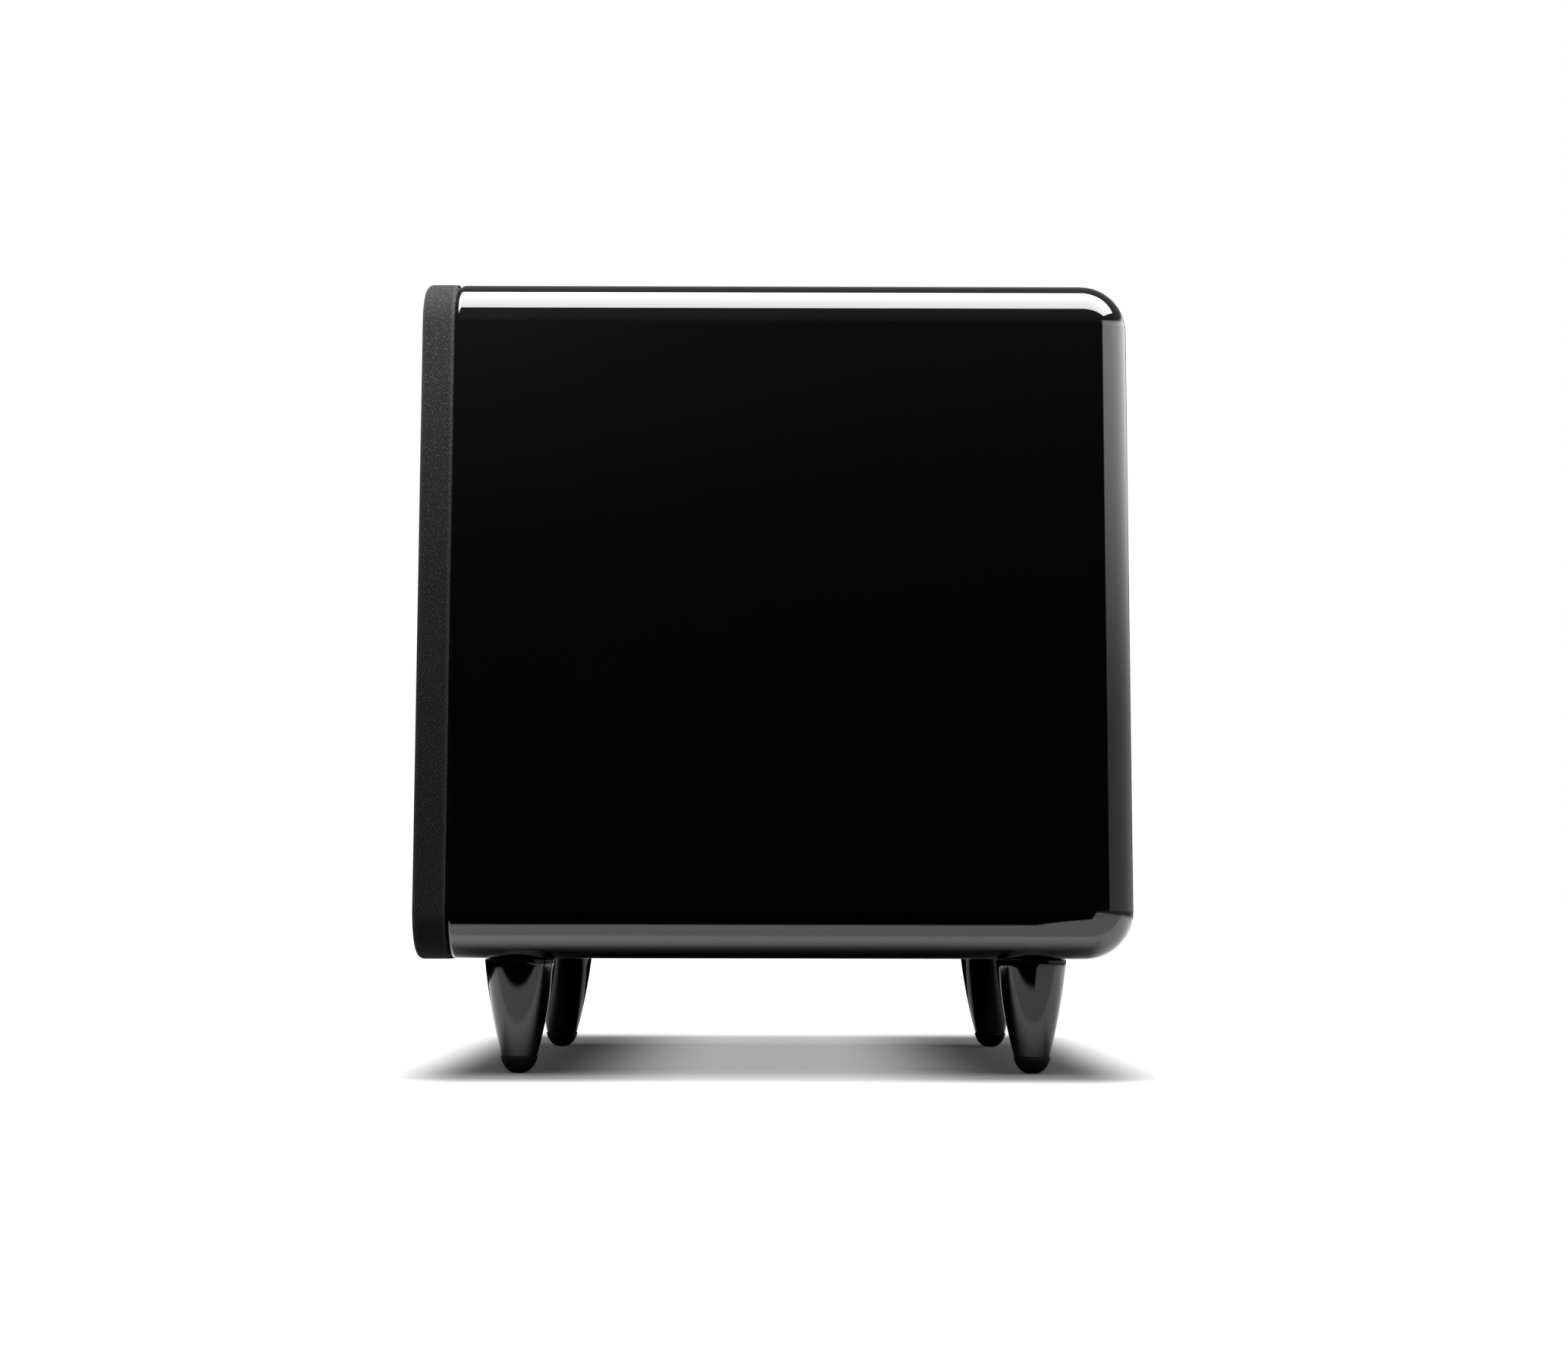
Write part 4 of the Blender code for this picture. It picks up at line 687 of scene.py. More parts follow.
skin = block("grille_cloth_skin", cloth_low, cloth_high)
edit(skin)
pick("FACE", lambda face: lies(face, 1, cloth_high[1]))
bpy.ops.mesh.delete(type="FACE")
close()
rounded(skin, lambda edge: runs(edge, 1), GRILLE_CORNER, 14)
rounded(skin, lambda edge: lies(edge, 1, cloth_low[1]), GRILLE_ROUND, 8)
wall_step = skin.modifiers.new("cloth thickness", "SOLIDIFY")
wall_step.thickness = CLOTH_THICKNESS
wall_step.offset = -1.0
wall_step.use_even_offset = True
apply_steps(skin)
rounded(skin, lambda edge: lies(edge, 1, cloth_high[1]) and len(edge.link_faces) == 2, HEM_ROUND, 3)
laid_flat = skin.data.uv_layers.new(name="cloth")
core = [(cloth_high[axis] - cloth_low[axis]) / 2 - GRILLE_CORNER for axis in (0, 2)]
centre = [(cloth_high[axis] + cloth_low[axis]) / 2 for axis in (0, 2)]
for loop in skin.data.loops:
    spot = skin.data.vertices[loop.vertex_index].co
    from_middle = Vector((spot.x - centre[0], spot.z - centre[1]))
    nearest = Vector([max(-core[axis], min(core[axis], from_middle[axis])) for axis in (0, 1)])
    outward = (from_middle - nearest).normalized()
    laid_flat.data[loop.index].uv = from_middle + outward * (spot.y - cloth_low[1])
smooth(skin, 40)
place(skin, grille_cloth, "grille", "grille_cloth", "grille_cloth")

# ---------------------------------------------------------------------------------------------------------
# The grille's frame. Black plastic moulded in one piece, with a wide window, and four ball-ended pegs that
# snap into rubber sockets in the baffle.

FRAME_RIM = 0.020
FRAME_CORNER = 0.040
FRAME_INSET = 0.001  # by which its corners are tighter than the cloth's
PEG_RADIUS = 0.0024
PEG_BALL = 0.0027
PEG_COLLAR = 0.0059
PEG_COLLAR_RISE = 0.0008
PEG_COLLAR_SIDES = (0.0004, 0.0007)
SOCKET_RADIUS = 0.0055
SOCKET_LIP_RADIUS = 0.0075
SOCKET_LIP = 0.0008
SOCKET_ROUND = 0.0003
SOCKET_PLAY = 0.0005
SOCKET_MOUTH = 0.0006
SOCKET_BOTTOM = 0.0015
CORNERS = ("upper_left", "upper_right", "lower_left", "lower_right")

moulded = new_look("moulded_black_plastic", (0.02, 0.02, 0.021), 0.48, size=0.0004, bumps=0.45)
rubber = new_look("black_rubber", (0.014, 0.014, 0.014), 0.68, size=0.0006, bumps=0.35, uneven=0.1)
rail_low, rail_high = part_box("grille_frame")
rail = block("grille_frame_moulded", rail_low, rail_high)
rounded(rail, lambda edge: runs(edge, 1), GRILLE_CORNER - FRAME_INSET, 14)
rounded(rail, lambda edge: lies(edge, 1, rail_low[1]), GRILLE_ROUND - FRAME_INSET, 4)
window = block(
    "window",
    (rail_low[0] + FRAME_RIM, rail_low[1] - SPARE, rail_low[2] + FRAME_RIM),
    (rail_high[0] - FRAME_RIM, rail_high[1] + SPARE, rail_high[2] - FRAME_RIM),
)
rounded(window, lambda edge: runs(edge, 1), FRAME_CORNER, 14)
carve(rail, window)
smooth(rail, 35)
place(rail, moulded, "grille", "black_plastic", "grille_frame")


def middle_of(node):
    """The middle of a CAD node's box."""
    lowest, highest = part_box(node)
    return (lowest + highest) / 2


peg_low, peg_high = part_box("grille_peg_upper_left")
peg_length = peg_high[1] - peg_low[1]
peg_spot = middle_of("grille_peg_upper_left")
ball = arc((0.0, peg_length - PEG_BALL), (PEG_BALL, PEG_BALL), -45, 90, 10)
peg_outline = [(0.0, 0.0), (PEG_RADIUS, 0.0), (PEG_RADIUS, PEG_COLLAR - PEG_COLLAR_SIDES[0])]
peg_outline += [(PEG_RADIUS + PEG_COLLAR_RISE, PEG_COLLAR), (PEG_RADIUS, PEG_COLLAR + PEG_COLLAR_SIDES[1])]
peg_outline += [(PEG_RADIUS, peg_length - 3 * PEG_BALL)] + ball[:-1] + [(0.0, peg_length)]
first_peg = turned("grille_peg_turned", peg_outline, (peg_spot.x, peg_low[1], peg_spot.z), (0, 1, 0), 40)
smooth(first_peg, 35, weighted=False)
socket_low, socket_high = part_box("grille_socket_upper_left")
socket_spot = middle_of("grille_socket_upper_left")
deep = socket_high[1] - socket_low[1]
bore = PEG_BALL + SOCKET_PLAY
bottom = deep - SOCKET_BOTTOM
socket_outline = [(0.0, bottom), (bore, bottom), (bore, SOCKET_MOUTH), (bore + SOCKET_MOUTH, 0.0)]
socket_outline += [(SOCKET_LIP_RADIUS - SOCKET_ROUND, 0.0), (SOCKET_LIP_RADIUS, SOCKET_ROUND)]
socket_outline += [(SOCKET_LIP_RADIUS, SOCKET_LIP)]
socket_outline += [(SOCKET_RADIUS, SOCKET_LIP), (SOCKET_RADIUS, deep), (0.0, deep)]
socket_at = (socket_spot.x, socket_low[1], socket_spot.z)
first_socket = turned("grille_socket_turned", socket_outline, socket_at, (0, 1, 0), 48)
smooth(first_socket, 35, weighted=False)
for corner in CORNERS:
    move = middle_of(f"grille_peg_{corner}") - peg_spot
    peg = copy_to(first_peg, f"grille_peg_{corner}_moulded", move)
    place(peg, moulded, "grille", "black_plastic", f"grille_peg_{corner}")
    socket = copy_to(first_socket, f"grille_socket_{corner}_moulded", move)
    place(socket, rubber, "cabinet", "rubber", f"grille_socket_{corner}")
bpy.data.objects.remove(first_peg)
bpy.data.objects.remove(first_socket)

# ---------------------------------------------------------------------------------------------------------
# The front baffle, brace and wadding. The baffle is fibreboard, sprayed matte black in front and bare behind,
# rebated for the woofer's flange. The brace is bare board, and the wadding is a loose pad of white fibre.

BOARD_COLOUR = (0.30, 0.215, 0.135)
PAINT_EDGE = (0.0005, 0.0015)  # how far behind the front the paint thins out
FLANGE_REBATE = 0.0051
FLANGE_LEDGE = 0.012
SOCKET_REBATE = 0.0013
SOCKET_HOLE = 0.012
PAD_ROOM = 0.001
LUMP_SIZE = 0.03
LUMP_HEIGHT = 0.004


def dress(look, *nodes):
    """Gives CAD nodes that keep their own shape a finish."""
    for node in nodes:
        frame["nodes"][node].data.materials.clear()
        frame["nodes"][node].data.materials.append(look)


def drill(piece, outline, at, axis, sides=64):
    """Cuts a turned hole, given by its side as (radius, distance) points, out of the piece."""
    carve(piece, turned("drill", outline, at, axis, sides))


def stepped(wide, rebate, narrow, depth):
    """The side of a hole that is wide as far as a rebate's depth, and then narrow."""
    return [(0.0, -SPARE), (wide, -SPARE), (wide, rebate), (narrow, rebate), (narrow, depth), (0.0, depth)]


bare_board = new_look(
    "bare_fibreboard", BOARD_COLOUR, 0.82, size=0.0003, bumps=0.6, depth=0.0001, uneven=0.08
)
baffle_paint = new_look("baffle_paint", (0.012, 0.012, 0.0125), 0.62, size=0.0004, bumps=0.4, uneven=0.08)
tree = baffle_paint.node_tree
base = tree.nodes["Principled BSDF"].inputs["Base Color"]
y = axes(tree, own_place(tree))[1]
behind = ramp(tree, y, front + PAINT_EDGE[0], front + PAINT_EDGE[1])
tree.links.new(mixed(tree, behind, base.links[0].from_socket, (*BOARD_COLOUR, 1.0)), base)

baffle_low, baffle_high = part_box("front_baffle")
baffle = block("front_baffle_board", baffle_low, baffle_high)
thick = baffle_high[1] - baffle_low[1]
flange_low, flange_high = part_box("woofer_basket")
flange_radius = (flange_high[0] - flange_low[0]) / 2
on_face = (0, baffle_low[1], middle)
hole = stepped(flange_radius + SEAM, FLANGE_REBATE, flange_radius - FLANGE_LEDGE, thick + SPARE)
drill(baffle, hole, on_face, (0, 1, 0), 128)
for corner in CORNERS:
    spot = middle_of(f"grille_socket_{corner}")
    hole = stepped(SOCKET_LIP_RADIUS + SEAM, SOCKET_REBATE, SOCKET_RADIUS + SEAM, SOCKET_HOLE)
    drill(baffle, hole, (spot.x, baffle_low[1], spot.z), (0, 1, 0), 48)
smooth(baffle, 30)
place(baffle, baffle_paint, "cabinet", "painted_board", "front_baffle")
dress(bare_board, "window_brace")

fleece = new_look(
    "white_fleece", (0.62, 0.62, 0.59), 0.95, size=0.0012, bumps=1.0, depth=0.0012, uneven=0.03
)
tune(fleece, {"Sheen Weight": 0.4})
pad_low, pad_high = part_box("damping_wadding")
pad = block("damping_wadding_pad", pad_low + Vector((0, 0, PAD_ROOM)), pad_high)
edit(pad)
bpy.ops.mesh.select_all(action="SELECT")
bpy.ops.mesh.subdivide(number_cuts=7)
close()
step = pad.modifiers.new("rounded", "SUBSURF")
step.levels = 2
step.render_levels = 2
lumps = bpy.data.textures.new("lumps", "CLOUDS")
lumps.noise_scale = LUMP_SIZE
step = pad.modifiers.new("lumps", "DISPLACE")
step.texture = lumps
step.strength = LUMP_HEIGHT
step.mid_level = 0.8
apply_steps(pad)
smooth(pad, 80, weighted=False)
place(pad, fleece, "cabinet", "fibre", "damping_wadding")

# ---------------------------------------------------------------------------------------------------------
# The bass driver. A pressed steel basket, powder coated black, holds the motor and is sealed with foam and
# held by four screws. The rubber roll and the woven spider hold the cone, its dust cap and coil, which
# travel.

FLANGE_THICKNESS = 0.0037
FLANGE_EDGE = 0.0012
BASKET_WALL = 0.0025
BASKET_RIB = 0.020
SURROUND_RADIUS = 0.0943
SURROUND_LIP = 0.0033
SURROUND_THICKNESS = 0.0012
ROLL_RADIUS = 0.0075
ROLL_HEIGHT = 0.0058
CONE_RADIUS = 0.076
CONE_NECK = 0.0257
CONE_DEPTH = 0.036
CONE_FLARE = 1.25
CONE_THICKNESS = 0.0014
DUST_CAP_RADIUS = 0.033
DUST_CAP_RISE = 0.012
DUST_CAP_THICKNESS = 0.0009
SPIDER_RADIUS = 0.060
SPIDER_LEDGE = 0.006
SPIDER_SETBACK = 0.044
SPIDER_WAVE = 0.0018
SPIDER_ROLLS = 3
SPIDER_STEPS = 36
SPIDER_THICKNESS = 0.0008
SPIDER_PLAY = 0.0005
RIBS = 6
PLATE_SETBACK = 0.056
PLATE_BORE = 0.0276
SECTORS = 16
TINY = 0.0003


def swing(angle, centre):
    """Turns the selected piece about a place, round the front-to-back axis."""
    bpy.ops.transform.rotate(value=angle, orient_axis="Y", center_override=centre)
    bpy.ops.object.transform_apply()


powder = new_look("black_powder_coat", (0.013, 0.013, 0.0135), 0.42, size=0.0005, bumps=0.5)
roll_rubber = new_look(
    "butyl_rubber", (0.009, 0.009, 0.0095), 0.42, size=0.0012, bumps=0.18, uneven=0.08
)
pulp = new_look(
    "pressed_pulp", (0.012, 0.012, 0.0125), 0.66, size=0.0011, bumps=0.9, depth=0.00012, uneven=0.08
)
cap_look = new_look("dust_cap_lacquer", (0.008, 0.008, 0.0085), 0.34, size=0.0015, bumps=0.12)
black_zinc = new_look("black_zinc", (0.05, 0.05, 0.052), 0.38, metallic=1.0, bumps=0.1, wear=(0.3, 0.3, 0.3))
face = baffle_low[1]
woofer_at = (0, face, middle)
into = (0, 1, 0)
mouth = SURROUND_RADIUS - SURROUND_LIP - TINY
ledge = SPIDER_RADIUS + TINY + SPIDER_PLAY
cup = SPIDER_RADIUS - SPIDER_LEDGE
wall = BASKET_WALL
waist = SPIDER_SETBACK - 2 * SPIDER_WAVE
outline = [(mouth, 0.0), (mouth - wall, FLANGE_THICKNESS + wall), (ledge, waist), (ledge, SPIDER_SETBACK)]
outline += [(cup, SPIDER_SETBACK), (cup, PLATE_SETBACK), (PLATE_BORE, PLATE_SETBACK)]
outline += [(PLATE_BORE, PLATE_SETBACK + wall), (cup + wall, PLATE_SETBACK + wall)]
outline += [(cup + wall, SPIDER_SETBACK + wall), (ledge + wall, SPIDER_SETBACK + wall)]
outline += [(ledge + wall, waist), (mouth, FLANGE_THICKNESS + wall)]
outline += [(mouth, FLANGE_THICKNESS), (flange_radius, FLANGE_THICKNESS)]
outline += arc((flange_radius - FLANGE_EDGE, FLANGE_EDGE), (FLANGE_EDGE, FLANGE_EDGE), 0, -90, 5)
basket = turned("woofer_basket_pressed", outline, woofer_at, into, 112)
opening = ledge + wall - BASKET_RIB
for index in range(RIBS // 2):
    bar = block(
        "bar",
        (-flange_radius, face + FLANGE_THICKNESS + 2 * wall, middle - opening / 2),
        (flange_radius, face + waist - wall, middle + opening / 2),
    )
    swing(math.tau * index / RIBS, woofer_at)
    carve(basket, bar)
smooth(basket, 35)
place(basket, powder, "cabinet", "black_paint", "woofer_basket")


def flexing(name, outline, look, node):
    """A ring between the basket and the cone, made in sectors."""
    turn = math.tau / SECTORS
    first = turned(f"{name}_01", outline, woofer_at, into, 6, turn)
    smooth(first, 50, weighted=False)
    for sector in range(SECTORS):
        piece = first
        if sector:
            piece = copy_to(first, f"{name}_{sector + 1:02d}", (0, 0, 0))
            hold(piece)
            swing(sector * turn, woofer_at)
    for sector in range(SECTORS):
        piece = bpy.data.objects[f"{name}_{sector + 1:02d}"]
        spots = [vert.co for vert in piece.data.vertices]
        outward = sum(spots, Vector()) / len(spots) - Vector(woofer_at)
        outward = Vector((outward.x, 0, outward.z)).normalized()
        piece.data.materials.clear()
        piece.data.materials.append(look)
        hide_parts(node)
        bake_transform(piece)


lip = -TINY - SURROUND_THICKNESS
roll_middle = (CONE_RADIUS + ROLL_RADIUS, -TINY - SURROUND_THICKNESS / 2)
outer = (ROLL_RADIUS + SURROUND_THICKNESS / 2, ROLL_HEIGHT + SURROUND_THICKNESS / 2)
inner = (ROLL_RADIUS - SURROUND_THICKNESS / 2, ROLL_HEIGHT - SURROUND_THICKNESS / 2)
outline = [(SURROUND_RADIUS, -TINY), (SURROUND_RADIUS, lip + TINY), (SURROUND_RADIUS - TINY, lip)]
outline += arc(roll_middle, outer, 0, -180, 20)
outline += [(CONE_RADIUS - SURROUND_LIP, lip), (CONE_RADIUS - SURROUND_LIP, -TINY)]
outline += arc(roll_middle, inner, -180, 0, 16)
flexing("surround_roll", outline, roll_rubber, "woofer_surround")

resin_cloth = new_look("resin_woven_cloth", (0.50, 0.32, 0.10), 0.85, size=0.0006, bumps=0.7, depth=0.0002)
spider_inner = CONE_NECK
spider_end = SPIDER_RADIUS - SPIDER_LEDGE
flat = SPIDER_SETBACK - TINY - SPIDER_THICKNESS
waves = []
for step in range(SPIDER_STEPS + 1):
    share = step / SPIDER_STEPS
    wave = SPIDER_WAVE * math.sin(math.tau * SPIDER_ROLLS * share)
    waves.append((spider_inner + (spider_end - spider_inner) * share, flat + wave))
waves.append((SPIDER_RADIUS, flat))
outline = waves + [(radius, setback + SPIDER_THICKNESS) for radius, setback in reversed(waves)]
flexing("spider_sector", outline, resin_cloth, "woofer_spider")

rim = CONE_RADIUS - SURROUND_LIP
cone_front = [(CONE_RADIUS, TINY)]
for step in range(17):
    share = step / 16
    radius = rim + (CONE_NECK - rim) * share
    cone_front.append((radius, TINY + (CONE_DEPTH - TINY) * share**CONE_FLARE))
cone_back = [(radius, setback + CONE_THICKNESS) for radius, setback in reversed(cone_front)]
cone = turned("woofer_cone_pressed", cone_front + cone_back, woofer_at, into, 96)
smooth(cone, 35, weighted=False)
place(cone, pulp, "cone", "cone_paper", "woofer_cone")

sphere = (DUST_CAP_RADIUS**2 + DUST_CAP_RISE**2) / (2 * DUST_CAP_RISE)
lean = math.degrees(math.asin(DUST_CAP_RADIUS / sphere))
share = (rim - DUST_CAP_RADIUS) / (rim - CONE_NECK)
seat = TINY + (CONE_DEPTH - TINY) * share**CONE_FLARE - DUST_CAP_THICKNESS - TINY
ball_middle = (0.0, seat - DUST_CAP_RISE + sphere)
outside = arc(ball_middle, (sphere, sphere), -90, lean - 90, 16)
inside = arc(ball_middle, (sphere - DUST_CAP_THICKNESS,) * 2, lean - 90, -90, 12)
outline = [(0.0, outside[0][1])] + outside[1:] + inside[:-1] + [(0.0, inside[-1][1])]
cap = turned("woofer_dust_cap_formed", outline, woofer_at, into, 96)
smooth(cap, 40, weighted=False)
place(cap, cap_look, "cone", "dust_cap", "woofer_dust_cap")


def screw_in(name, node, head, shank, length, towards):
    """A pan-head screw with a cross recess, at a CAD screw's place, its head facing towards -Y or +Y."""
    lowest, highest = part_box(node)
    spot = (lowest + highest) / 2
    top = lowest[1] if towards < 0 else highest[1]
    at = (spot.x, top, spot.z)
    outline = [(0.0, 0.0), (0.45 * head, head / 16), (0.75 * head, head / 7), (0.94 * head, head / 3.4)]
    outline += [(head, head / 2.2), (head, head / 1.9), (shank, head / 1.9), (shank, length), (0.0, length)]
    screw = turned(name, outline, at, (0, -towards, 0), 40)
    for half in ((0.52 * head, 0.12 * head), (0.12 * head, 0.52 * head)):
        slot_deep = head / 3
        near, far = sorted((top - towards * slot_deep, top + towards * SPARE))
        corners = ((at[0] - half[0], near, at[2] - half[1]), (at[0] + half[0], far, at[2] + half[1]))
        carve(screw, block("recess", *corners))
    smooth(screw, 35, weighted=False)
    return screw


def four_screws(kind, head, shank, length, towards):
    """The four screws of a kind: one is made, and the others are copies of it."""
    node = f"{kind}_screw_1"
    first = screw_in(f"{kind}_screw_turned_1", node, head, shank, length, towards)
    for index in (2, 3, 4):
        move = middle_of(f"{kind}_screw_{index}") - middle_of(node)
        screw = copy_to(first, f"{kind}_screw_turned_{index}", move)
        place(screw, black_zinc, "cabinet", "black_zinc", f"{kind}_screw_{index}")
    place(first, black_zinc, "cabinet", "black_zinc", node)


four_screws("woofer", head=0.0042, shank=0.002, length=0.016, towards=-1)

zinc = new_look("zinc_plate", (0.60, 0.60, 0.58), 0.34, metallic=1.0, bumps=0.15, wear=(0.75, 0.75, 0.73))
ferrite = new_look("sintered_ferrite", (0.07, 0.07, 0.074), 0.6, size=0.0006, bumps=0.5)
foam = new_look("closed_cell_foam", (0.022, 0.022, 0.022), 0.9, size=0.0007, bumps=1.0, depth=0.0002)
copper = new_look("enamelled_copper", (0.62, 0.24, 0.10), 0.3, metallic=1.0, size=0.0003, bumps=0.6)
solder_mask = new_look("green_solder_mask", (0.012, 0.10, 0.04), 0.32, size=0.0022, bumps=0.3)
dress(zinc, "woofer_top_plate", "woofer_yoke")
dress(ferrite, "woofer_magnet")
dress(foam, "woofer_gasket", "amp_gasket")
dress(copper, "woofer_coil")
dress(solder_mask, "woofer_terminals", "amp_board")
dress(rubber, "woofer_lead")

# ---------------------------------------------------------------------------------------------------------
# The bass port. A moulded tube that runs up from the underside, with a wide rounded mouth and a thin lip
# that lies in a rebate.

PORT_RADIUS = 0.025
PORT_WALL = 0.0025
PORT_FLARE = 0.009
PORT_LIP = 0.003
PORT_ROUND = 0.0004
PORT_TAPER = 0.0008

length = port_high[2] - port_low[2]
mouth = PORT_RADIUS + PORT_FLARE
lip = mouth + PORT_LIP
outline = [(lip - PORT_ROUND, 0.0), (lip, PORT_ROUND), (lip, PORT_LIP)]
outline += [(mouth - TINY, PORT_LIP), (PORT_RADIUS + PORT_WALL, PORT_FLARE + PORT_WALL)]
outline += [(PORT_RADIUS + PORT_WALL, length - PORT_TAPER), (PORT_RADIUS + PORT_WALL / 2, length)]
outline += [(PORT_RADIUS, length - PORT_TAPER)]
outline += arc((mouth, PORT_FLARE), (PORT_FLARE, PORT_FLARE), 180, 270, 12)
port = turned("port_tube_moulded", outline, (*port_middle, port_low[2]), (0, 0, 1), 96)
smooth(port, 35, weighted=False)
place(port, moulded, "cabinet", "black_plastic", "port_tube")

# ---------------------------------------------------------------------------------------------------------
# The control tray. Steel sheet pressed into a shallow tray, powder coated black, with printed scales round
# the two dials. It lies on a foam strip in the back panel's rebate and is held by four screws.

TRAY_WALL = 0.002
TRAY_DEPTH = 0.017
TRAY_BEND = 0.0015
TRAY_ROUND = 0.0003
SHAFT_HOLE = 0.0044
LAMP_HOLE = 0.0023
JACK_HOLE = 0.00445
ROCKER_HOLE = (0.0064, 0.0096)
INLET_HOLE = (0.0134, 0.0098)
SLIDER_HOLE = (0.0042, 0.0018)
SLIDER_TRAVEL = 0.004
SLIDER_MARKS = (0.0034, 0.0052)  # how far up each mark starts and ends
DIAL_TURN = 300
DIAL_MARKS = 11
DIAL_INNER = 0.0116
DIAL_LONG = 0.0026
DIAL_SHORT = 0.0016
MARK_WIDTH = 0.00034
LABEL_PLACE = (0.0085, -0.0152)  # sideways and up from the dial's middle
LABEL_SIZE = 0.0034
PRINT = 0.00008

print_white = new_look("printed_white", (0.62, 0.62, 0.60), 0.6, size=0.0003, bumps=0.2, uneven=0.05)
tray_low, tray_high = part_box("amp_panel")
rim = tray_high[1]
floor_of_tray = rim - TRAY_DEPTH
tray = block("amp_panel_pressed", (tray_low[0], rim - TRAY_WALL, tray_low[2]), tray_high)
rounded(tray, lambda edge: runs(edge, 1), TRAY_CORNER, 8)
half = (TRAY_SIZE[0] / 2 - TINY, TRAY_SIZE[1] / 2 - TINY)
tray_cup = block(
    "tray_cup",
    (-half[0], floor_of_tray - TRAY_WALL, middle - half[1]),
    (half[0], rim - TRAY_WALL / 2, middle + half[1]),
)
rounded(tray_cup, lambda edge: runs(edge, 1), TRAY_CORNER, 8)
carve(tray, tray_cup, "UNION")
half = (half[0] - TRAY_WALL, half[1] - TRAY_WALL)
hollow = block(
    "hollow",
    (-half[0], floor_of_tray, middle - half[1]),
    (half[0], rim + SPARE, middle + half[1]),
)
rounded(hollow, lambda edge: runs(edge, 1), TRAY_CORNER - TRAY_WALL, 8)
rounded(hollow, lambda edge: lies(edge, 1, floor_of_tray), TRAY_BEND, 4)
carve(tray, hollow)
through = (floor_of_tray - TRAY_WALL - SPARE, floor_of_tray + SPARE)
round_holes = {"level_knob": SHAFT_HOLE, "crossover_knob": SHAFT_HOLE, "standby_lamp": LAMP_HOLE}
round_holes |= {"line_in_left": JACK_HOLE, "line_in_right": JACK_HOLE}
for node, radius in round_holes.items():
    spot = middle_of(node)
    hole = [(0.0, 0.0), (radius, 0.0), (radius, through[1] - through[0]), (0.0, through[1] - through[0])]
    drill(tray, hole, (spot.x, through[0], spot.z), into, 40)
square_holes = {"rocker_housing": ROCKER_HOLE, "mains_inlet": INLET_HOLE}
square_holes |= {"phase_slider": SLIDER_HOLE, "auto_slider": SLIDER_HOLE}
for node, half in square_holes.items():
    spot = middle_of(node)
    across = spot.x - (SLIDER_TRAVEL / 2 if "slider" in node else 0.0)
    low_corner = (across - half[0] - TINY, through[0], spot.z - half[1] - TINY)
    high_corner = (across + half[0] + TINY, through[1], spot.z + half[1] + TINY)
    carve(tray, block("square_hole", low_corner, high_corner))
soften(tray, TRAY_ROUND, 2, 50)
smooth(tray, 35)
place(tray, powder, "cabinet", "black_paint", "amp_panel")


def inlay(piece, parts, look):
    """Joins parts to a finished piece, each keeping a second finish."""
    hold(piece)
    for part in parts:
        part.data.materials.clear()
        part.data.materials.append(look)
        part.select_set(True)
    bpy.ops.object.join()


marks = []
for node, numbers in {"level_knob": ("0", "10"), "crossover_knob": ("40", "160")}.items():
    spot = middle_of(node)
    at = Vector((spot.x, floor_of_tray, spot.z))
    for index in range(DIAL_MARKS):
        long = DIAL_LONG if index % 5 == 0 else DIAL_SHORT
        low_corner = at + Vector((-MARK_WIDTH / 2, -PRINT, DIAL_INNER))
        mark = block("mark", low_corner, at + Vector((MARK_WIDTH / 2, PRINT, DIAL_INNER + long)))
        turn = math.radians(DIAL_TURN * (index / (DIAL_MARKS - 1) - 0.5))
        swing(turn, at)
        marks.append(mark)
    for number, sideways in zip(numbers, (LABEL_PLACE[0], -LABEL_PLACE[0])):
        begin()
        label_at = at + Vector((sideways, PRINT / 2, LABEL_PLACE[1]))
        upright = (math.radians(90), 0, math.radians(180))
        bpy.ops.object.text_add(location=label_at, rotation=upright)
        label = bpy.context.object
        label.data.body = number
        label.data.size = LABEL_SIZE
        label.data.align_x = "CENTER"
        label.data.extrude = PRINT / 2
        bpy.ops.object.convert(target="MESH")
        bpy.ops.object.transform_apply()
        marks.append(bpy.context.object)
for node in ("phase_slider", "auto_slider"):
    spot = middle_of(node)
    for across in (spot.x, spot.x - SLIDER_TRAVEL):
        low_corner = (across - MARK_WIDTH / 2, floor_of_tray - PRINT, spot.z + SLIDER_MARKS[0])
        high_corner = (across + MARK_WIDTH / 2, floor_of_tray + PRINT, spot.z + SLIDER_MARKS[1])
        marks.append(block("mark", low_corner, high_corner))
inlay(tray, marks, print_white)

four_screws("amp", head=0.003, shank=0.0016, length=0.013, towards=1)

# ---------------------------------------------------------------------------------------------------------
# The two dials, level and crossover. Each is a fluted plastic knob with an inlaid pointer, pressed on a
# metal shaft, which turns 150 degrees each way.

KNOB_RADIUS = 0.0092
KNOB_HEIGHT = 0.0125
KNOB_COLUMNS = 96
KNOB_BORE = 0.0034
KNOB_SKIRT = 0.0049
KNOB_EDGE = 0.0009
KNOB_DRAFT = 0.0002
KNOB_INSET = 0.0024
KNOB_DISH = (0.0007, 0.0005)  # how deep its top is in the middle and near the edge
KNOB_FOOT = (0.001, 0.0014)
KNOB_ROOM = 0.003
FLUTE_ENDS = (0.0007, 0.0008)
FLUTE_DEPTH = 0.945  # the flutes' radius as a share of the knob's
POINTER_WIDTH = 0.0008
POINTER_DEPTH = 0.0013
POINTER_INSET = 0.0014
POINTER_SUNK = 0.0006

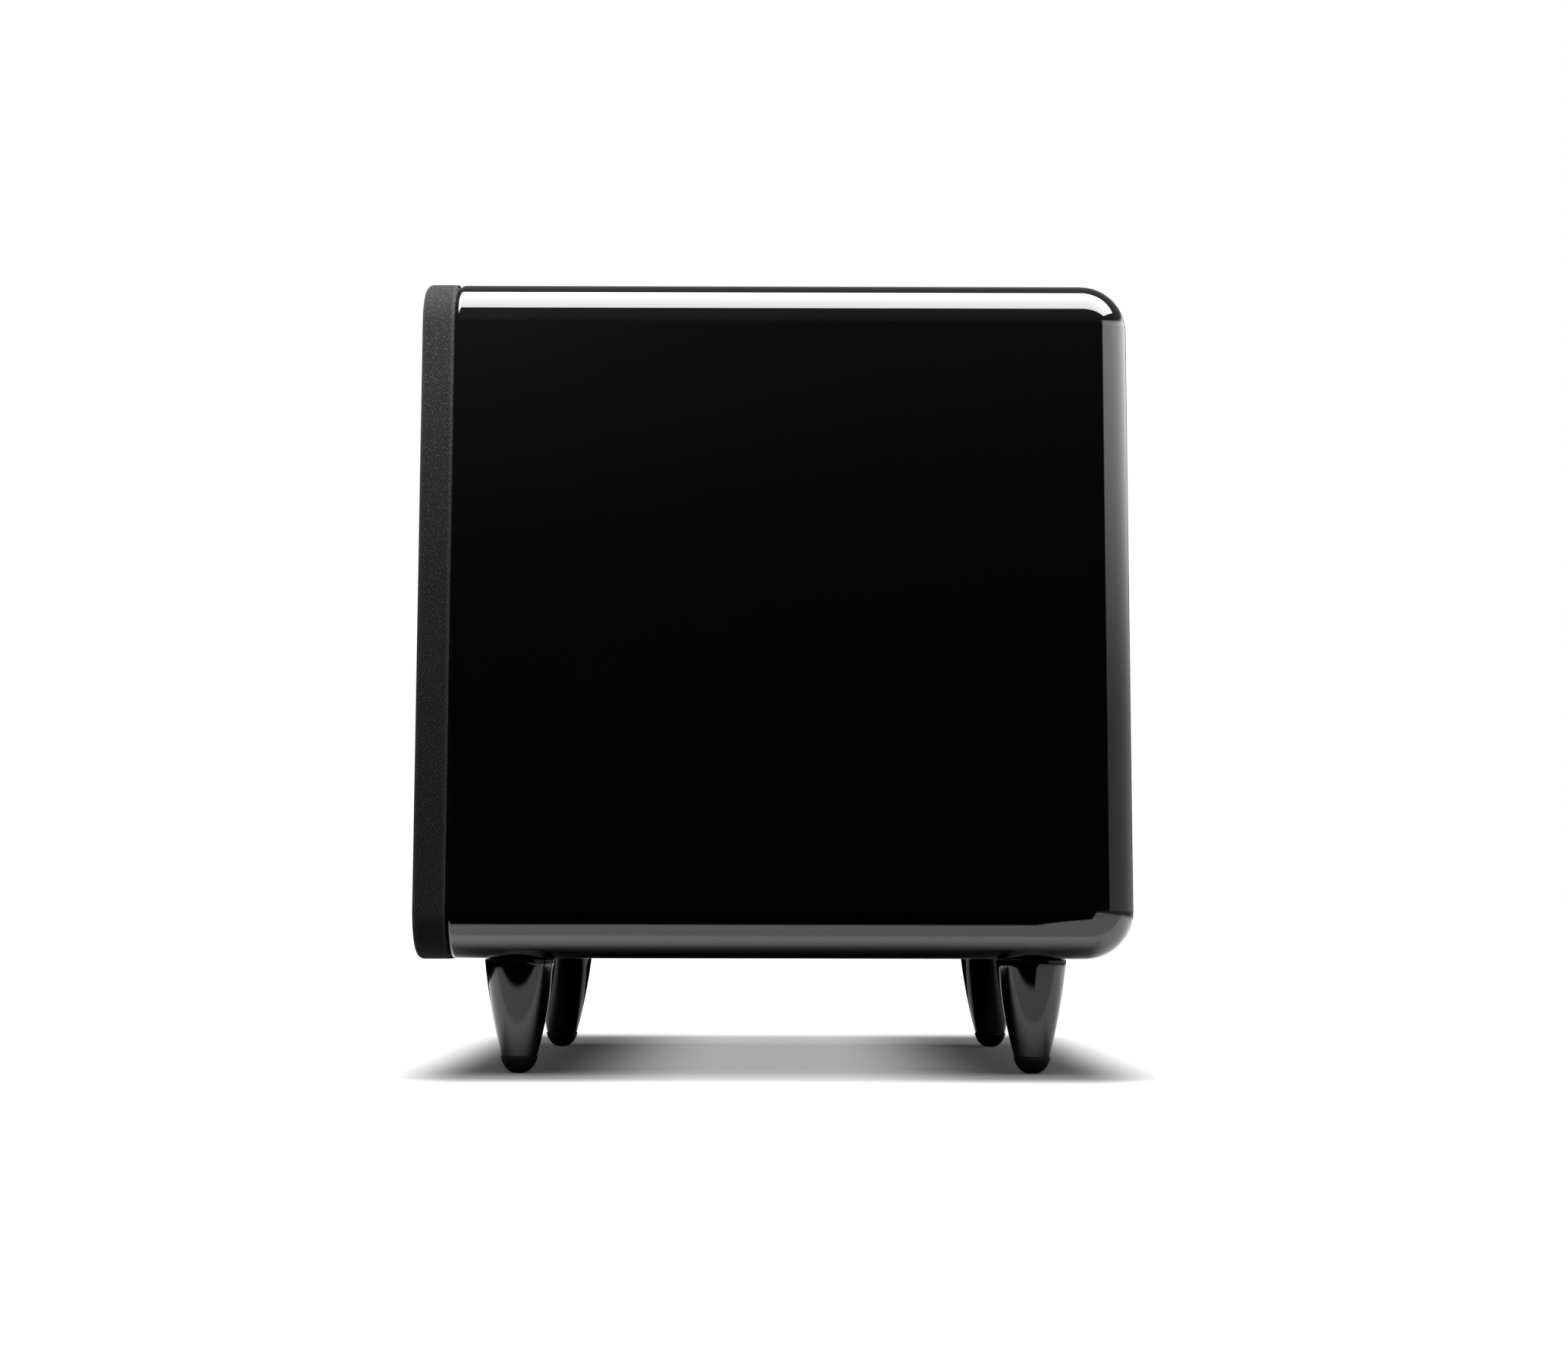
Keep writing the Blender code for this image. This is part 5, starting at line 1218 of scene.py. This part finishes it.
satin = new_look(
    "satin_black_plastic", (0.012, 0.012, 0.0125), 0.34, size=0.0005, bumps=0.2, wear=(0.04, 0.04, 0.04)
)
bare_metal = new_look("bare_aluminium", (0.68, 0.68, 0.70), 0.36, metallic=1.0, size=0.0004, bumps=0.3)
knob_spot = middle_of("level_knob")
knob_at = Vector((knob_spot.x, floor_of_tray, knob_spot.z))
outline = [(0.0, KNOB_HEIGHT - KNOB_DISH[0]), (KNOB_RADIUS - KNOB_INSET, KNOB_HEIGHT - KNOB_DISH[1])]
shoulder = (KNOB_RADIUS - KNOB_EDGE - KNOB_DRAFT, KNOB_HEIGHT - KNOB_EDGE)
outline += arc(shoulder, (KNOB_EDGE, KNOB_EDGE), 90, 0, 5)
outline += [(KNOB_RADIUS, KNOB_FOOT[1]), (KNOB_RADIUS + KNOB_FOOT[0] - KNOB_FOOT[1], KNOB_FOOT[0])]
outline += [(KNOB_SKIRT, KNOB_FOOT[0]), (KNOB_SKIRT, KNOB_ROOM), (KNOB_BORE, KNOB_ROOM)]
outline += [(KNOB_BORE, KNOB_HEIGHT - KNOB_ROOM), (0.0, KNOB_HEIGHT - KNOB_ROOM)]
knob = turned("level_knob_fluted", outline, knob_at, into, KNOB_COLUMNS)


def in_flute(vert):
    """True for the knob's side at every fourth column of points, apart from its top edge."""
    across, up = vert.co.x - knob_at.x, vert.co.z - knob_at.z
    column = round(math.atan2(up, across) / math.tau * KNOB_COLUMNS)
    on_side = KNOB_RADIUS - FLUTE_ENDS[0] < math.hypot(across, up)
    return on_side and column % 4 == 0 and vert.co.y < knob_at.y + KNOB_HEIGHT - FLUTE_ENDS[1]


edit(knob)
pick("VERT", in_flute)
bpy.ops.transform.resize(value=(FLUTE_DEPTH, 1.0, FLUTE_DEPTH), center_override=knob_at)
close()
top = knob_at.y + KNOB_HEIGHT
pointer = (KNOB_RADIUS / 3, KNOB_RADIUS - POINTER_INSET)
low_corner = (knob_at.x - POINTER_WIDTH / 2, top - POINTER_DEPTH, knob_at.z + pointer[0])
high_corner = (knob_at.x + POINTER_WIDTH / 2, top + SPARE, knob_at.z + pointer[1])
carve(knob, block("pointer_slot", low_corner, high_corner))
smooth(knob, 32)
line = block("pointer", low_corner, (high_corner[0], top - POINTER_SUNK, high_corner[2]))
knob.data.materials.append(satin)
inlay(knob, [line], print_white)
move = middle_of("crossover_knob") - knob_spot
twin = copy_to(knob, "crossover_knob_fluted", move)
dials = ((knob, "level_control", "level_knob"), (twin, "crossover_control", "crossover_knob"))
for piece, body, node in dials:
    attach(piece, body)
    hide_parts(node)
dress(bare_metal, "level_shaft", "crossover_shaft")

# ---------------------------------------------------------------------------------------------------------
# Switches, sockets and lamp. Two slide switches, a rocker in its housing, a mains inlet with three nickel
# pins, two gold-plated line inputs with moulded insulators, and a green standby lamp.

FINE_EDGE = 0.0002
MOULD_EDGE = 0.0004
PIN_PLACES = ((-0.007, -0.0022), (0.007, -0.0022), (0.0, 0.0028))  # earth is the upper one
PIN_ROUND = 0.0006
PIN_ROOT = 0.0135  # behind the tray's floor
PIN_TIP = 0.0007
PIN_HALF = (0.0011, 0.0023)
JACK_LENGTH = 0.009
JACK_RADIUS = 0.00415
JACK_BORE = 0.0016
JACK_MOUTH = 0.00345
JACK_FLOOR = 0.001
JACK_INSET = 0.0006
JACK_ROUND = 0.0002
RING_ROOM = (0.0001, 0.00005)
RING_TOPS = (0.0002, 0.0004)
RING_BOTTOM = 0.0007
NUT_RADIUS = 0.006
NUT_THICKNESS = 0.002
LENS_RADIUS = 0.002


def finer(node, name, width):
    """A copy of a flat-sided CAD node with its sharp edges softened, as a mould leaves them."""
    piece = bpy.data.objects.new(name, frame["nodes"][node].data.copy())
    bpy.context.scene.collection.objects.link(piece)
    hold(piece)
    bpy.ops.mesh.customdata_custom_splitnormals_clear()
    edit(piece)
    bpy.ops.mesh.select_all(action="SELECT")
    bpy.ops.mesh.remove_doubles(threshold=1e-6)
    bpy.ops.mesh.dissolve_limited(angle_limit=math.radians(1))
    close()
    soften(piece, width, 3, 30)
    smooth(piece, 40)
    return piece


for node, body in (("phase_slider", "phase_switch"), ("auto_slider", "auto_switch")):
    place(finer(node, f"{node}_moulded", FINE_EDGE), satin, body, "satin_plastic", node)
rocker = finer("power_rocker", "power_rocker_moulded", MOULD_EDGE)
place(rocker, satin, "power_switch", "satin_plastic", "power_rocker")
housing = finer("rocker_housing", "rocker_housing_moulded", MOULD_EDGE)
place(housing, moulded, "cabinet", "black_plastic", "rocker_housing")
inlet = finer("mains_inlet", "mains_inlet_moulded", MOULD_EDGE)
place(inlet, moulded, "cabinet", "black_plastic", "mains_inlet")
nickel = new_look("nickel_pins", (0.66, 0.63, 0.58), 0.25, metallic=1.0, size=0.0006, bumps=0.1)
pins = []
spot = middle_of("mains_inlet")
near, far = floor_of_tray - PIN_ROOT, floor_of_tray - PIN_TIP
for right, up in PIN_PLACES:
    low_corner = (spot.x - right - PIN_HALF[0], near, spot.z + up - PIN_HALF[1])
    pin = block("pin", low_corner, (spot.x - right + PIN_HALF[0], far, spot.z + up + PIN_HALF[1]))
    rounded(pin, lambda edge: lies(edge, 1, far), PIN_ROUND, 3)
    smooth(pin, 30)
    pins.append(pin)
inlay(inlet, pins, nickel)

gold = new_look("gold_plate", (0.86, 0.62, 0.24), 0.2, metallic=1.0, size=0.0006, bumps=0.08)
insulators = {
    "line_in_left": new_look("white_insulator", (0.6, 0.6, 0.58), 0.4, size=0.0005, bumps=0.1),
    "line_in_right": new_look("red_insulator", (0.42, 0.02, 0.015), 0.4, size=0.0005, bumps=0.1),
}
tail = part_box("line_in_left")[0].y - floor_of_tray
outline = [(0.0, JACK_FLOOR), (JACK_BORE, JACK_FLOOR), (JACK_BORE, JACK_LENGTH - JACK_INSET)]
outline += [(JACK_MOUTH, JACK_LENGTH - JACK_INSET), (JACK_MOUTH, JACK_LENGTH)]
outline += [(JACK_RADIUS - JACK_ROUND, JACK_LENGTH), (JACK_RADIUS, JACK_LENGTH - JACK_ROUND)]
outline += [(JACK_RADIUS, NUT_THICKNESS), (NUT_RADIUS - JACK_ROUND, NUT_THICKNESS)]
outline += [(NUT_RADIUS, NUT_THICKNESS - JACK_ROUND), (NUT_RADIUS, TINY), (JACK_RADIUS, TINY)]
outline += [(JACK_RADIUS, tail), (0.0, tail)]
ring_in, ring_out = JACK_BORE + RING_ROOM[0], JACK_MOUTH - RING_ROOM[1]
ring = [(ring_in, JACK_LENGTH - RING_BOTTOM), (ring_out, JACK_LENGTH - RING_BOTTOM)]
ring += [(ring_out, JACK_LENGTH - RING_TOPS[0]), (ring_in, JACK_LENGTH - RING_TOPS[1])]
for node, insulator in insulators.items():
    spot = middle_of(node)
    at = (spot.x, floor_of_tray, spot.z)
    jack = turned(f"{node}_turned", outline, at, into, 56)
    smooth(jack, 35, weighted=False)
    place(jack, gold, "cabinet", "gold_brass", node)
    washer = turned("washer", ring, at, into, 56)
    smooth(washer, 35, weighted=False)
    inlay(jack, [washer], insulator)

lens = new_look("green_lens", (0.03, 0.30, 0.07), 0.12, size=0.002, bumps=0.03, uneven=0.03)
tune(lens, {"Coat Weight": 0.6})
spot = middle_of("standby_lamp")
dome = arc((0.0, TINY), (LENS_RADIUS, LENS_RADIUS), 90, 0, 10)
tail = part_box("standby_lamp")[0].y - floor_of_tray
outline = [(0.0, dome[0][1])] + dome[1:] + [(LENS_RADIUS, tail), (0.0, tail)]
lamp = turned("standby_lamp_moulded", outline, (spot.x, floor_of_tray, spot.z), into, 40)
smooth(lamp, 40, weighted=False)
place(lamp, lens, "cabinet", "lamp_lens", "standby_lamp")

# ---------------------------------------------------------------------------------------------------------
# The electronics behind the tray: a bare extruded heatsink on the board, and a ring transformer wound with
# yellow tape, which lies on the cabinet's floor.

TAPE_TURNS = 40
TAPE_BUMP = (0.8, 0.0003)

dress(bare_metal, "amp_heatsink")
tape = new_look("transformer_tape", (0.62, 0.50, 0.09), 0.42, size=0.0008, bumps=0.2)
tree = tape.node_tree
centred = tree.nodes.new("ShaderNodeMapping")
centred.inputs["Location"].default_value = -middle_of("amp_transformer")
tree.links.new(own_place(tree), centred.inputs["Vector"])
x, y = axes(tree, centred.outputs["Vector"])[:2]
round_it = calculate(tree, "ARCTAN2", y, x)
wound = calculate(tree, "FRACT", calculate(tree, "MULTIPLY", round_it, TAPE_TURNS / math.tau))
emboss(tree, wound, *TAPE_BUMP)
dress(tape, "amp_transformer")
